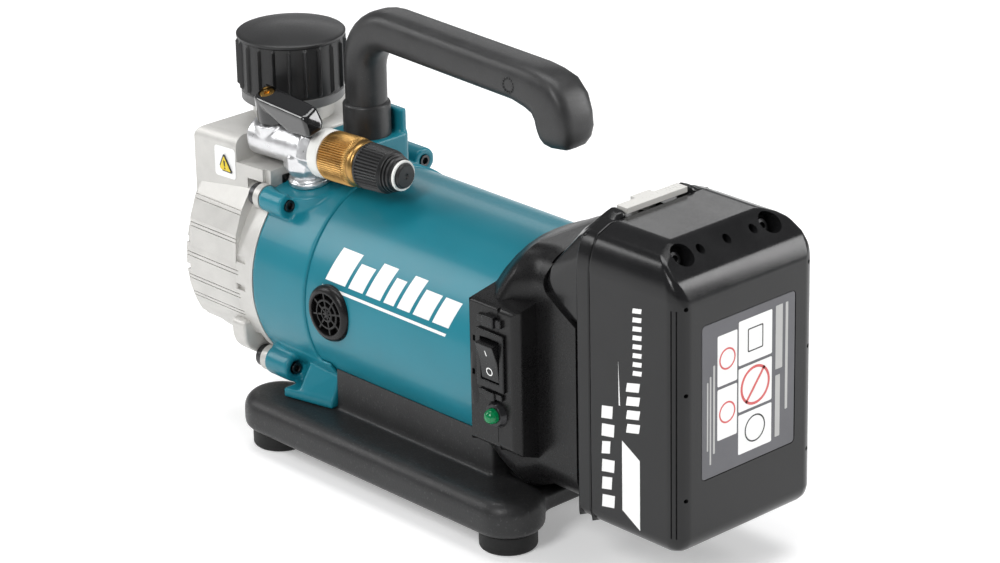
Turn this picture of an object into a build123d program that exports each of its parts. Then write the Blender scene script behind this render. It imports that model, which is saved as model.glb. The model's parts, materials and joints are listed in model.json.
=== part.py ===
"""Cordless rotary-vane vacuum pump for refrigeration work, as an assembly of separate pieces.

Frame: +X runs along the motor axis from the oil cover to the battery, -Y is the switch side and +Z is up.
The origin is on the floor, under the middle of the assembly's outline. Lengths are in millimetres.
"""
import os
from math import cos, radians, sin

from build123d import *

os.makedirs("parts", exist_ok=True)

# Driving dimensions
AXIS_Z = 69.0            # height of the motor and pump axis
TUBE_R = 46.6            # motor tube, outside
TUBE_WALL = 2.0
X_COVER_END = -136.5     # outer end of the oil cover
X_JOINT = -93.5          # joint face between oil cover and front bracket
X_RING = -60.5           # joint between front bracket and motor tube
X_HOUSING = 40.5         # front rim of the rear housing
X_SPLIT = 56.5           # parting plane of the two housing shells
X_ADAPTER = 66.5         # where the switch box steps in to the battery adapter
X_SEAT = 87.5            # outer end of the battery adapter
X_LIP = 87.8             # first face of the battery
X_SEAM = 94.9            # joint between the two battery cases
X_LABEL = 142.2          # outer face of the battery
BATTERY_HALF_Y = 37.5

FOOT_R = 11.7
FOOT_H = 7.8
FEET_MID_X = -15.5
FEET_SPACING = 138.2
FOOT_Y = 42.5
SKID_HALF = 14.8
SKID_TOP = 23.3
SADDLE_HALF_Y = 38.0
SADDLE_X0 = -53.3

LUG_OFFSET_Y = 37.0      # bolt lugs, either side of the axis
LUG_OFFSET_Z = 36.0      # bolt lugs, above and below the axis
LUG_R = 5.5
LUG_END = -79.5
BOLT_R = 2.5

COVER_R = 47.3
COVER_CORE_R = 44.8
BOX_TOP = 127.0
VALVE_POCKET_Z = 116.0   # floor of the pocket that clears the valve body
NECK_X = -119.3          # filler neck and oil cap axis, on y = 0
NECK_R = 17.0
NECK_TOP = 134.0
NECK_BORE_R = 12.0
CAP_R = 22.9
CAP_TOP = 165.2
CAP_RIBS = 21

HANDLE_X = -72.5         # handle post axis, on y = 0
HANDLE_HALF_Y = 9.25
COLLAR_R = 9.6
COLLAR_TOP = 143.0
PEDESTAL_TOP = 129.0
BEND_CENTRE = (-53.0, 158.0)
BEND_OUTER_R = 28.0
BEND_INNER_R = 11.0
HANDLE_TUBE_R = 5.0

VALVE_X = -84.0          # inlet neck axis, where it leaves its pad
VALVE_TILT = 10.0        # degrees that the neck leans towards -Y
VALVE_YAW = 4.4          # degrees that the outlet turns from +X towards +Y
OUTLET_RISE = 15.54      # from the pad's face to the outlet axis
STEM_BACK = 17.0         # lever axis, behind the neck axis
SPIGOT_R = 5.5

PANEL_Y = -48.5          # switch panel face
PANEL_Z0 = 44.0
PANEL_Z1 = 102.8
ROCKER_X = 52.7
ROCKER_Z = 80.5
LED_X = 55.3
LED_Z = 58.5

PUMP_OFFSET = 3.5        # eccentricity of the pump bore
PUMP_BORE_R = 24.0
PUMP_ROTOR_R = 20.3
SHAFT_R = 5.0
SHAFT_GAP = 0.03         # radial running clearance in the bearings

BASE_ALIGN = (Align.CENTER, Align.CENTER, Align.MIN)
LOW = (Align.MIN, Align.MIN, Align.MIN)


def along_x(x, y=0.0, z=AXIS_Z):
    """Location whose Z axis runs along +X."""
    return Location((x, y, z), (0, 90, 0))


def along_y(x, y, z):
    """Location whose Z axis runs along -Y."""
    return Location((x, y, z), (90, 0, 0))


def lug_points():
    """The four bolt lug centres, in the YZ plane."""
    return [(sy * LUG_OFFSET_Y, AXIS_Z + sz * LUG_OFFSET_Z) for sy in (-1, 1) for sz in (-1, 1)]


FEET = [(FEET_MID_X + sx * FEET_SPACING / 2, sy * FOOT_Y) for sx in (-1, 1) for sy in (-1, 1)]

# Inlet valve frame: local X along the outlet, local Z up the tilted neck, origin where the two axes meet
NECK_DIR = Vector(0, -sin(radians(VALVE_TILT)), cos(radians(VALVE_TILT)))
PAD_POINT = Vector(VALVE_X, -21.4, 111.0)
VALVE = Plane(
    origin=PAD_POINT + NECK_DIR * OUTLET_RISE,
    x_dir=(cos(radians(VALVE_YAW)), sin(radians(VALVE_YAW)), 0),
    z_dir=NECK_DIR,
)


def in_valve(u, v, w, rotation=(0, 0, 0)):
    """Location in the valve frame."""
    return VALVE.location * Location((u, v, w), rotation)


def along_outlet(u):
    """Location on the outlet axis whose Z axis runs along the outlet."""
    return in_valve(u, 0, 0, (0, 90, 0))


# ---------------------------------------------------------------- base

with BuildPart() as base:
    with BuildSketch(Plane.XY.offset(FOOT_H)):
        with Locations((FEET_MID_X, FOOT_Y), (FEET_MID_X, -FOOT_Y)):
            SlotCenterToCenter(FEET_SPACING, 2 * SKID_HALF)
    extrude(amount=SKID_TOP - FOOT_H)
    fillet(base.edges().group_by(Axis.Z)[-1], 6.5)
    chamfer(base.edges().group_by(Axis.Z)[0], 2.4)
    with Locations((SADDLE_X0, -SADDLE_HALF_Y, 12)):
        Box(X_HOUSING - 0.3 - SADDLE_X0, 2 * SADDLE_HALF_Y, 33, align=LOW)
    with Locations((X_HOUSING - 1, -SADDLE_HALF_Y, 12)):
        Box(22, 2 * SADDLE_HALF_Y, 7, align=LOW)
    with Locations((SADDLE_X0 + 4, -SADDLE_HALF_Y + 14, 12)):
        Box(100, 2 * SADDLE_HALF_Y - 28, 5, align=LOW, mode=Mode.SUBTRACT)
    with Locations(along_x(SADDLE_X0 - 1)):
        Cylinder(TUBE_R, X_HOUSING - SADDLE_X0 + 2, align=BASE_ALIGN, mode=Mode.SUBTRACT)
    with Locations([(x, y, FOOT_H) for x, y in FEET]):
        Cylinder(2.1, 12, align=BASE_ALIGN, mode=Mode.SUBTRACT)
base.part.label = "base"
export_step(base.part, "parts/base.step")

with BuildPart() as rubber_feet:
    with BuildSketch():
        with Locations(FEET):
            Circle(FOOT_R)
    extrude(amount=FOOT_H)
    fillet(rubber_feet.edges().group_by(Axis.Z)[0], 1.5)
    with Locations([(x, y, 0) for x, y in FEET]):
        Cylinder(4.6, 4.5, align=BASE_ALIGN, mode=Mode.SUBTRACT)
        Cylinder(2.1, FOOT_H, align=BASE_ALIGN, mode=Mode.SUBTRACT)
rubber_feet.part.label = "rubber_feet"
export_step(rubber_feet.part, "parts/rubber_feet.step")

with BuildPart() as foot_screws:
    with Locations([(x, y, 2.5) for x, y in FEET]):
        Cylinder(4.3, 2.0, align=BASE_ALIGN)
        Cylinder(2.1, 14, align=BASE_ALIGN)
        Cylinder(1.4, 1.2, align=BASE_ALIGN, mode=Mode.SUBTRACT)
foot_screws.part.label = "foot_screws"
export_step(foot_screws.part, "parts/foot_screws.step")

# ---------------------------------------------------------------- teal front bracket and motor tube

BRACKET_R = 47.5
BULKHEAD = 8.0
BEARING_R = 13.0
BEARING_W = 8.0

with BuildPart() as front_bracket:
    with Locations(along_x(X_JOINT)):
        Cylinder(BRACKET_R, X_RING - X_JOINT, align=BASE_ALIGN)
    with Locations([along_x(X_JOINT, y, z) for y, z in lug_points()]):
        Cylinder(LUG_R, LUG_END - X_JOINT, align=BASE_ALIGN)
    with BuildSketch(Plane.XY.offset(100)):
        with Locations((-74.0, 1.5)):
            RectangleRounded(27, 23, 3)
    extrude(amount=PEDESTAL_TOP - 100)
    with BuildSketch(Plane.XY.offset(100)):
        with Locations((-74.0, 10.8)):
            RectangleRounded(24, 3.8, 1.2)
    extrude(amount=39)
    with Locations(Plane(origin=PAD_POINT, z_dir=-NECK_DIR).location):
        Cylinder(16, 22, align=BASE_ALIGN)
    for side in (-1, 1):
        with BuildSketch(Plane.YZ.offset(X_JOINT + 8)):
            with BuildLine():
                Polyline(
                    (side * 30, SKID_TOP),
                    (side * 48, SKID_TOP),
                    (side * 48, SKID_TOP + 4),
                    (side * 40.5, 44),
                    (side * 30, 44),
                    close=True,
                )
            make_face()
        extrude(amount=32)
    with Locations(along_x(X_JOINT + BULKHEAD)):
        Cylinder(43.5, 60, align=BASE_ALIGN, mode=Mode.SUBTRACT)
    with Locations(along_x(X_RING)):
        Cylinder(TUBE_R + 0.1, 20, align=BASE_ALIGN, mode=Mode.SUBTRACT)
    with Locations(along_x(X_JOINT + BULKHEAD)):
        Cylinder(BEARING_R + 5, 6, align=BASE_ALIGN)
    with Locations(along_x(X_JOINT - 1)):
        Cylinder(8.5, 20, align=BASE_ALIGN, mode=Mode.SUBTRACT)
    with Locations(along_x(X_JOINT + 5)):
        Cylinder(BEARING_R, 12, align=BASE_ALIGN, mode=Mode.SUBTRACT)
    with Locations([along_x(X_JOINT, y, z) for y, z in lug_points()]):
        Cylinder(BOLT_R, 20, align=BASE_ALIGN, mode=Mode.SUBTRACT)
    with Locations(Plane(origin=PAD_POINT, z_dir=-NECK_DIR).location):
        Cylinder(6.0, 10, align=BASE_ALIGN, mode=Mode.SUBTRACT)
    with Locations((HANDLE_X, 0, 108)):
        Cylinder(HANDLE_TUBE_R, 25, align=BASE_ALIGN, mode=Mode.SUBTRACT)
    with Locations((HANDLE_X, 0, PEDESTAL_TOP)):
        Cylinder(COLLAR_R, 20, align=BASE_ALIGN, mode=Mode.SUBTRACT)
    with BuildSketch(Plane(origin=PAD_POINT, x_dir=(1, 0, 0), z_dir=NECK_DIR)):
        Circle(15.9)
        with Locations((0, 11.3 + 10)):
            Rectangle(40, 20, mode=Mode.SUBTRACT)
    extrude(amount=14, mode=Mode.SUBTRACT)
    with Locations((X_JOINT - 30, -60, 0)):
        Box(30, 120, 150, align=LOW, mode=Mode.SUBTRACT)
front_bracket.part.label = "front_bracket"
export_step(front_bracket.part, "parts/front_bracket.step")

VENT_X = -45.7
VENT_Z = 70.4
VENT_R = 12.0
VENT_HOLE_R = 10.3
VENT_BORE_R = 7.7
TUBE_END = 45.0

with BuildPart() as motor_tube:
    with Locations(along_x(X_RING)):
        Cylinder(TUBE_R, TUBE_END - X_RING, align=BASE_ALIGN)
        Cylinder(TUBE_R - TUBE_WALL, TUBE_END - X_RING, align=BASE_ALIGN, mode=Mode.SUBTRACT)
    with Locations(along_y(VENT_X, -40, VENT_Z)):
        Cylinder(VENT_HOLE_R, 10, align=BASE_ALIGN, mode=Mode.SUBTRACT)
motor_tube.part.label = "motor_tube"
export_step(motor_tube.part, "parts/motor_tube.step")

with BuildPart() as vent_grille:
    with Locations(along_y(VENT_X, -43, VENT_Z)):
        Cylinder(VENT_R, 6.2, align=BASE_ALIGN)
    fillet(vent_grille.edges().group_by(Axis.Y)[0], 2.8)
    with Locations(along_x(-80)):
        Cylinder(TUBE_R, 60, align=BASE_ALIGN, mode=Mode.SUBTRACT)
    with Locations(along_y(VENT_X, -44.7, VENT_Z)):
        Cylinder(VENT_HOLE_R - 0.05, 3.3, align=BASE_ALIGN)
    with Locations(along_y(VENT_X, -40, VENT_Z)):
        Cylinder(VENT_BORE_R, 10, align=BASE_ALIGN, mode=Mode.SUBTRACT)
    for radius in (2.9, 5.4):
        with Locations(along_y(VENT_X, -45.6, VENT_Z)):
            Cylinder(radius, 1.8, align=BASE_ALIGN)
            Cylinder(radius - 0.8, 1.8, align=BASE_ALIGN, mode=Mode.SUBTRACT)
    for angle in (0, 45, 90, 135):
        with BuildSketch(Plane.XZ.offset(45.6)):
            with Locations(Location((VENT_X, VENT_Z), angle)):
                Rectangle(2 * VENT_BORE_R + 0.4, 0.8)
        extrude(amount=1.8)
vent_grille.part.label = "vent_grille"
export_step(vent_grille.part, "parts/vent_grille.step")

# ---------------------------------------------------------------- oil cover

FLANGE_T = 3.3
COVER_WALL = 3.2
GROOVE_Z = (44.0, 54.5, 66.0, 78.0, 90.0)
SIGHT_Z = 56.0
SIGHT_R = 11.0
DRAIN_Z = 36.0
cover_length = X_JOINT - X_COVER_END

with BuildPart() as oil_cover:
    with Locations(along_x(X_COVER_END)):
        Cylinder(COVER_R, cover_length, align=BASE_ALIGN)
    with Locations((X_COVER_END - 1, -60, 0)):
        Box(cover_length - FLANGE_T, 120, GROOVE_Z[0], align=LOW, mode=Mode.SUBTRACT)
    with Locations(along_x(X_COVER_END + 2.5)):
        Cylinder(COVER_CORE_R, cover_length - 2.5, align=BASE_ALIGN)
    with BuildSketch(Plane.XY.offset(AXIS_Z)):
        with BuildLine():
            Polyline(
                (X_COVER_END, -40),
                (X_JOINT - FLANGE_T, -36.5),
                (X_JOINT - FLANGE_T, 36.5),
                (X_COVER_END, 40),
                close=True,
            )
        make_face()
    extrude(amount=BOX_TOP - AXIS_Z)
    fillet(oil_cover.edges().group_by(Axis.Z)[-1], 5)
    with BuildSketch(Plane.YZ.offset(X_JOINT - FLANGE_T)):
        with Locations((0, AXIS_Z)):
            Circle(BRACKET_R)
        with Locations((0, 100)):
            Rectangle(70, 50)
        with Locations(lug_points()):
            Circle(LUG_R)
    extrude(amount=FLANGE_T)
    with Locations((X_COVER_END - 1, 0, GROOVE_Z[0])):
        for z in GROOVE_Z:
            for side in (-1, 1):
                with Locations((0, side * 48.6, z - GROOVE_Z[0])):
                    Box(cover_length - 4, 6, 2.6, align=(Align.MIN, Align.CENTER, Align.CENTER),
                        mode=Mode.SUBTRACT)
    with Locations((NECK_X, 0, BOX_TOP - 4)):
        Cylinder(NECK_R, NECK_TOP - BOX_TOP + 4, align=BASE_ALIGN)
    with Locations(along_x(X_COVER_END + COVER_WALL)):
        Cylinder(COVER_CORE_R - COVER_WALL, cover_length, align=BASE_ALIGN, mode=Mode.SUBTRACT)
    with Locations((X_COVER_END + COVER_WALL, -29, AXIS_Z)):
        Box(cover_length, 58, BOX_TOP - COVER_WALL - AXIS_Z, align=LOW, mode=Mode.SUBTRACT)
    with Locations((-115.2, -35, 112.8)):
        Box(X_JOINT + 115.2, 21, BOX_TOP - 113.5, align=LOW)
    with Locations((-112.0, -45, VALVE_POCKET_Z)):
        Box(30, 29, 20, align=LOW, mode=Mode.SUBTRACT)
    with Locations((NECK_X, 0, 110)):
        Cylinder(NECK_BORE_R, 40, align=BASE_ALIGN, mode=Mode.SUBTRACT)
    with Locations(along_x(X_COVER_END - 1, 0, SIGHT_Z)):
        Cylinder(SIGHT_R, 8, align=BASE_ALIGN, mode=Mode.SUBTRACT)
    with Locations(along_x(X_COVER_END - 1, 0, DRAIN_Z)):
        Cylinder(4.0, 8, align=BASE_ALIGN, mode=Mode.SUBTRACT)
    with Locations([along_x(X_JOINT - FLANGE_T - 9, y, z) for y, z in lug_points()]):
        Cylinder(LUG_R + 0.1, 9, align=BASE_ALIGN, mode=Mode.SUBTRACT)
        Cylinder(BOLT_R, 14, align=BASE_ALIGN, mode=Mode.SUBTRACT)
oil_cover.part.label = "oil_cover"
export_step(oil_cover.part, "parts/oil_cover.step")

with BuildPart() as cover_bolts:
    with Locations([along_x(X_JOINT - FLANGE_T - 3.7, y, z) for y, z in lug_points()]):
        Cylinder(4.8, 3.7, align=BASE_ALIGN)
        Cylinder(BOLT_R, 14.0, align=BASE_ALIGN)
        Cylinder(2.2, 2.2, align=BASE_ALIGN, mode=Mode.SUBTRACT)
cover_bolts.part.label = "cover_bolts"
export_step(cover_bolts.part, "parts/cover_bolts.step")

with BuildPart() as lug_screws:
    with Locations([along_x(LUG_END - 6, y, z) for y, z in lug_points()]):
        Cylinder(BOLT_R, 6.4, align=BASE_ALIGN)
    with Locations([along_x(LUG_END - 1.5, y, z) for y, z in lug_points()]):
        Cylinder(1.4, 3, align=BASE_ALIGN, mode=Mode.SUBTRACT)
lug_screws.part.label = "lug_screws"
export_step(lug_screws.part, "parts/lug_screws.step")

with BuildPart() as sight_glass:
    with Locations(along_x(X_COVER_END + 0.6, 0, SIGHT_Z)):
        Cylinder(SIGHT_R - 2.0, 2.6, align=BASE_ALIGN)
sight_glass.part.label = "sight_glass"
export_step(sight_glass.part, "parts/sight_glass.step")

with BuildPart() as sight_glass_ring:
    with Locations(along_x(X_COVER_END - 1.2, 0, SIGHT_Z)):
        Cylinder(SIGHT_R + 1.5, 1.2, align=BASE_ALIGN)
        Cylinder(SIGHT_R, 4.4, align=BASE_ALIGN)
        Cylinder(SIGHT_R - 2.0, 4.4, align=BASE_ALIGN, mode=Mode.SUBTRACT)
sight_glass_ring.part.label = "sight_glass_ring"
export_step(sight_glass_ring.part, "parts/sight_glass_ring.step")

with BuildPart() as drain_plug:
    with BuildSketch(Plane.YZ.offset(X_COVER_END - 4)):
        with Locations((0, DRAIN_Z)):
            RegularPolygon(6.0, 6)
    extrude(amount=4)
    with Locations(along_x(X_COVER_END, 0, DRAIN_Z)):
        Cylinder(4.0, 5, align=BASE_ALIGN)
drain_plug.part.label = "drain_plug"
export_step(drain_plug.part, "parts/drain_plug.step")

with BuildPart() as hazard_label:
    with BuildSketch(Plane.XZ.offset(0)):
        with Locations((-118.5, 114.5)):
            RectangleRounded(12, 13.3, 1.5)
    extrude(amount=45)
    with BuildSketch(Plane.XY.offset(100)):
        with BuildLine():
            Polyline(
                (X_COVER_END, -40.0),
                (X_JOINT - FLANGE_T, -36.5),
                (X_JOINT - FLANGE_T, -36.7),
                (X_COVER_END, -40.2),
                close=True,
            )
        make_face()
    extrude(amount=30, mode=Mode.INTERSECT)
hazard_label.part.label = "hazard_label"
export_step(hazard_label.part, "parts/hazard_label.step")

# ---------------------------------------------------------------- oil filler cap

CAP_BOTTOM = NECK_TOP + 4.6
THREAD_GAP = 0.1

with BuildPart() as oil_cap_seal:
    with Locations((NECK_X, 0, NECK_TOP)):
        Cylinder(21.5, 4.6, align=BASE_ALIGN)
        Cylinder(NECK_BORE_R + 1.5, 4.6, align=BASE_ALIGN, mode=Mode.SUBTRACT)
oil_cap_seal.part.label = "oil_cap_seal"
export_step(oil_cap_seal.part, "parts/oil_cap_seal.step")

with BuildPart() as oil_cap:
    with Locations((NECK_X, 0, CAP_BOTTOM)):
        Cylinder(CAP_R - 1.0, CAP_TOP - CAP_BOTTOM - 1.5, align=BASE_ALIGN)
    fillet(oil_cap.edges().group_by(Axis.Z)[-1], 2.5)
    with BuildSketch(Plane.XY.offset(CAP_BOTTOM)):
        with Locations((NECK_X, 0)):
            with PolarLocations(CAP_R - 1.0, CAP_RIBS):
                Rectangle(2.0, 1.6)
    extrude(amount=19)
    with Locations((NECK_X, 0, CAP_TOP - 2.0)):
        Cone(14, 8, 2.0, align=BASE_ALIGN)
    with Locations((NECK_X, 0, NECK_TOP - 6)):
        Cylinder(NECK_BORE_R - THREAD_GAP, CAP_BOTTOM - NECK_TOP + 7, align=BASE_ALIGN)
    with Locations((NECK_X, 0, NECK_TOP - 6)):
        Cylinder(9.5, 24, align=BASE_ALIGN, mode=Mode.SUBTRACT)
oil_cap.part.label = "oil_cap"
export_step(oil_cap.part, "parts/oil_cap.step")

# ---------------------------------------------------------------- handle

BEND_X, BEND_Z = BEND_CENTRE
POST_X0 = BEND_X - BEND_OUTER_R
POST_X1 = BEND_X - BEND_INNER_R
core_z = BEND_Z + (BEND_OUTER_R + BEND_INNER_R) / 2

with BuildPart() as handle_tube:
    with BuildLine(Plane.XZ) as tube_path:
        Line((HANDLE_X, 109), (HANDLE_X, BEND_Z))
        TangentArc((HANDLE_X, BEND_Z), (BEND_X, core_z), tangent=(0, 1))
        Line((BEND_X, core_z), (20, core_z))
    with BuildSketch(Plane.XY.offset(109)):
        with Locations((HANDLE_X, 0)):
            Circle(HANDLE_TUBE_R)
            Circle(HANDLE_TUBE_R - 1.5, mode=Mode.SUBTRACT)
    sweep(path=tube_path.wire())
handle_tube.part.label = "handle_tube"
export_step(handle_tube.part, "parts/handle_tube.step")

GRIP_UNDER_Z = 169.0

with BuildPart() as handle_grip:
    with BuildSketch(Plane.XZ):
        with BuildLine():
            Line((POST_X0, COLLAR_TOP - 4), (POST_X0, BEND_Z))
            TangentArc((POST_X0, BEND_Z), (BEND_X, BEND_Z + BEND_OUTER_R), tangent=(0, 1))
            Line((BEND_X, BEND_Z + BEND_OUTER_R), (36, 183.5))
            Spline((36, 183.5), (51, 177.5), (57.5, 166), (55, 156), tangents=((1, -0.03), (-0.5, -1)))
            Spline((55, 156), (49.5, 152.2), (43, 156), tangents=((-0.5, -1), (-0.8, 0.7)))
            Spline((43, 156), (34, 163.6), (22, 167.0), tangents=((-0.8, 0.7), (-1, 0.05)))
            Line((22, 167.0), (BEND_X, GRIP_UNDER_Z))
            TangentArc((BEND_X, GRIP_UNDER_Z), (POST_X1, BEND_Z), tangent=(-1, 0))
            Line((POST_X1, BEND_Z), (POST_X1, COLLAR_TOP - 4))
            Line((POST_X1, COLLAR_TOP - 4), (POST_X0, COLLAR_TOP - 4))
        make_face()
    extrude(amount=HANDLE_HALF_Y, both=True)
    side_edges = handle_grip.faces().filter_by(Axis.Y).edges()
    fillet(side_edges.filter_by(lambda edge: edge.center().Z > COLLAR_TOP - 2), 4.5)
    with Locations((HANDLE_X, 0, PEDESTAL_TOP)):
        Cylinder(COLLAR_R, COLLAR_TOP - PEDESTAL_TOP, align=BASE_ALIGN)
    with BuildLine(Plane.XZ) as core_path:
        Line((HANDLE_X, 120), (HANDLE_X, BEND_Z))
        TangentArc((HANDLE_X, BEND_Z), (BEND_X, core_z), tangent=(0, 1))
        Line((BEND_X, core_z), (20, core_z))
    with BuildSketch(Plane.XY.offset(120)):
        with Locations((HANDLE_X, 0)):
            Circle(HANDLE_TUBE_R)
    sweep(path=core_path.wire(), mode=Mode.SUBTRACT)
handle_grip.part.label = "handle_grip"
export_step(handle_grip.part, "parts/handle_grip.step")

# ---------------------------------------------------------------- inlet valve

BALL_R = 6.0
BODY_R = 8.2
SEAT_T = 2.2
SEAT_STARTS = (-5.3 - SEAT_T, 5.3)     # seat rings either side of the ball, along the outlet
LEVER_LOW = 9.0          # underside of the lever's hub, above the outlet axis
LEVER_TOP = 22.0
OUTLET_END = 10.3        # end of the valve body along the outlet
SPIGOT_START = 6.0

with BuildPart() as valve_body:
    with Locations(in_valve(0, 0, -OUTLET_RISE)):
        Cylinder(9.2, 2.5, align=BASE_ALIGN)
        Cone(9.0, 6.5, 6.5, align=BASE_ALIGN)
        Cylinder(6.2, OUTLET_RISE, align=BASE_ALIGN)
    with Locations(in_valve(0, 0, -OUTLET_RISE - 9)):
        Cylinder(6.0, 10, align=BASE_ALIGN)
    with Locations(along_outlet(-STEM_BACK - 9)):
        Cylinder(BODY_R, OUTLET_END + STEM_BACK + 9, align=BASE_ALIGN)
    with BuildSketch(Plane(origin=along_outlet(4).position, x_dir=VALVE.y_dir, z_dir=VALVE.x_dir)):
        RegularPolygon(9.6, 6)
    extrude(amount=OUTLET_END - 4)
    with Locations(in_valve(-STEM_BACK, 0, 0)):
        Cylinder(7.4, LEVER_LOW - 0.4, align=BASE_ALIGN)
        Sphere(BALL_R + 0.1, mode=Mode.SUBTRACT)
        Cylinder(3.05, 12, align=BASE_ALIGN, mode=Mode.SUBTRACT)
    for along in SEAT_STARTS:
        with Locations(along_outlet(-STEM_BACK + along)):
            Cylinder(5.2, SEAT_T, align=BASE_ALIGN, mode=Mode.SUBTRACT)
    with Locations(along_outlet(-STEM_BACK)):
        Cylinder(3.0, 40, align=BASE_ALIGN, mode=Mode.SUBTRACT)
    with Locations(along_outlet(SPIGOT_START)):
        Cylinder(SPIGOT_R, 10, align=BASE_ALIGN, mode=Mode.SUBTRACT)
    with Locations(in_valve(0, 0, -OUTLET_RISE - 10)):
        Cylinder(3.0, OUTLET_RISE + 10, align=BASE_ALIGN, mode=Mode.SUBTRACT)
valve_body.part.label = "valve_body"
export_step(valve_body.part, "parts/valve_body.step")

with BuildPart() as valve_seats:
    for along in SEAT_STARTS:
        with Locations(along_outlet(-STEM_BACK + along)):
            Cylinder(5.2, SEAT_T, align=BASE_ALIGN)
            Cylinder(3.0, SEAT_T, align=BASE_ALIGN, mode=Mode.SUBTRACT)
valve_seats.part.label = "valve_seats"
export_step(valve_seats.part, "parts/valve_seats.step")

with BuildPart() as valve_stem:
    with Locations(in_valve(-STEM_BACK, 0, 0)):
        Sphere(BALL_R)
        Cylinder(3.0, LEVER_TOP - 4, align=BASE_ALIGN)
    with Locations(along_outlet(-STEM_BACK - 8)):
        Cylinder(3.0, 16, align=BASE_ALIGN, mode=Mode.SUBTRACT)
    with Locations(in_valve(-STEM_BACK, 0, LEVER_TOP - 10)):
        Cylinder(1.2, 10, align=BASE_ALIGN, mode=Mode.SUBTRACT)
valve_stem.part.label = "valve_stem"
export_step(valve_stem.part, "parts/valve_stem.step")

lever_side = Plane(origin=VALVE.origin, x_dir=VALVE.x_dir, z_dir=-VALVE.y_dir)

with BuildPart() as valve_lever:
    with Locations(in_valve(-STEM_BACK, 0, LEVER_LOW)):
        Cone(7.6, 6.6, 8, align=BASE_ALIGN)
    with BuildSketch(lever_side.offset(-4.6)):
        with BuildLine():
            Polyline(
                (-STEM_BACK - 6, LEVER_LOW + 4),
                (-STEM_BACK - 5, LEVER_TOP),
                (3, LEVER_TOP),
                (10, LEVER_LOW + 1.5),
                (4, LEVER_LOW + 1.5),
                (-STEM_BACK + 6, LEVER_LOW + 2),
                close=True,
            )
        make_face()
    extrude(amount=9.2)
    with Locations(in_valve(-STEM_BACK, 0, LEVER_LOW - 1)):
        Cylinder(3.0, LEVER_TOP - 4 - LEVER_LOW + 1, align=BASE_ALIGN, mode=Mode.SUBTRACT)
    with Locations(in_valve(-STEM_BACK, 0, LEVER_TOP - 2)):
        Cylinder(3.0, 4, align=BASE_ALIGN, mode=Mode.SUBTRACT)
    with Locations(in_valve(-STEM_BACK, 0, LEVER_TOP - 6)):
        Cylinder(1.2, 8, align=BASE_ALIGN, mode=Mode.SUBTRACT)
valve_lever.part.label = "valve_lever"
export_step(valve_lever.part, "parts/valve_lever.step")

with BuildPart() as lever_screw:
    with Locations(in_valve(-STEM_BACK, 0, LEVER_TOP - 2)):
        Cylinder(2.8, 1.6, align=BASE_ALIGN)
    with Locations(in_valve(-STEM_BACK, 0, LEVER_TOP - 9)):
        Cylinder(1.2, 8, align=BASE_ALIGN)
lever_screw.part.label = "lever_screw"
export_step(lever_screw.part, "parts/lever_screw.step")

WASHER_END = 16.2
NUT_END = 32.0
RING_END = 36.0
SPIGOT_END = 50.0
BLANK_END = 57.7

with BuildPart() as inlet_spigot:
    with Locations(along_outlet(SPIGOT_START)):
        Cylinder(SPIGOT_R, SPIGOT_END - SPIGOT_START, align=BASE_ALIGN)
    with Locations(along_outlet(5)):
        Cylinder(2.4, SPIGOT_END, align=BASE_ALIGN, mode=Mode.SUBTRACT)
inlet_spigot.part.label = "inlet_spigot"
export_step(inlet_spigot.part, "parts/inlet_spigot.step")

with BuildPart() as nylon_washer:
    with Locations(along_outlet(OUTLET_END)):
        Cylinder(10.0, WASHER_END - OUTLET_END, align=BASE_ALIGN)
        Cylinder(SPIGOT_R, WASHER_END - OUTLET_END, align=BASE_ALIGN, mode=Mode.SUBTRACT)
nylon_washer.part.label = "nylon_washer"
export_step(nylon_washer.part, "parts/nylon_washer.step")

with BuildPart() as swivel_nut:
    with Locations(along_outlet(WASHER_END)):
        Cylinder(10.2, NUT_END - WASHER_END, align=BASE_ALIGN)
        Cylinder(SPIGOT_R + 0.08, NUT_END - WASHER_END, align=BASE_ALIGN, mode=Mode.SUBTRACT)
swivel_nut.part.label = "swivel_nut"
export_step(swivel_nut.part, "parts/swivel_nut.step")

with BuildPart() as retaining_ring:
    with Locations(along_outlet(NUT_END)):
        Cylinder(9.5, RING_END - NUT_END, align=BASE_ALIGN)
        Cylinder(SPIGOT_R, RING_END - NUT_END, align=BASE_ALIGN, mode=Mode.SUBTRACT)
retaining_ring.part.label = "retaining_ring"
export_step(retaining_ring.part, "parts/retaining_ring.step")

with BuildPart() as inlet_cap:
    with Locations(along_outlet(RING_END)):
        Cylinder(9.2, 51 - RING_END, align=BASE_ALIGN)
        Cylinder(7.4, 53.5 - RING_END, align=BASE_ALIGN)
        Cylinder(6.4, 55 - RING_END, align=BASE_ALIGN)
        Cylinder(5.25, BLANK_END - RING_END, align=BASE_ALIGN)
        Cylinder(SPIGOT_R + 0.08, SPIGOT_END + 0.3 - RING_END, align=BASE_ALIGN, mode=Mode.SUBTRACT)
    with Locations(along_outlet(BLANK_END - 0.6)):
        Cylinder(0.8, 2, align=BASE_ALIGN, mode=Mode.SUBTRACT)
inlet_cap.part.label = "inlet_cap"
export_step(inlet_cap.part, "parts/inlet_cap.step")

with BuildPart() as inlet_o_ring:
    with Locations(along_outlet(55)):
        Cylinder(6.3, 1.3, align=BASE_ALIGN)
        Cylinder(5.3, 1.3, align=BASE_ALIGN, mode=Mode.SUBTRACT)
inlet_o_ring.part.label = "inlet_o_ring"
export_step(inlet_o_ring.part, "parts/inlet_o_ring.step")

# ---------------------------------------------------------------- rear housing, in two shells

HOUSING_WALL = 2.6


def rounded_section(x, width, height, centre_z, radius, inset=0.0):
    """Sketch of a rounded rectangle across the motor axis."""
    with BuildSketch(Plane.YZ.offset(x)) as section:
        with Locations((0, centre_z)):
            RectangleRounded(width - 2 * inset, height - 2 * inset, radius - inset)
    return section.sketch


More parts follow.
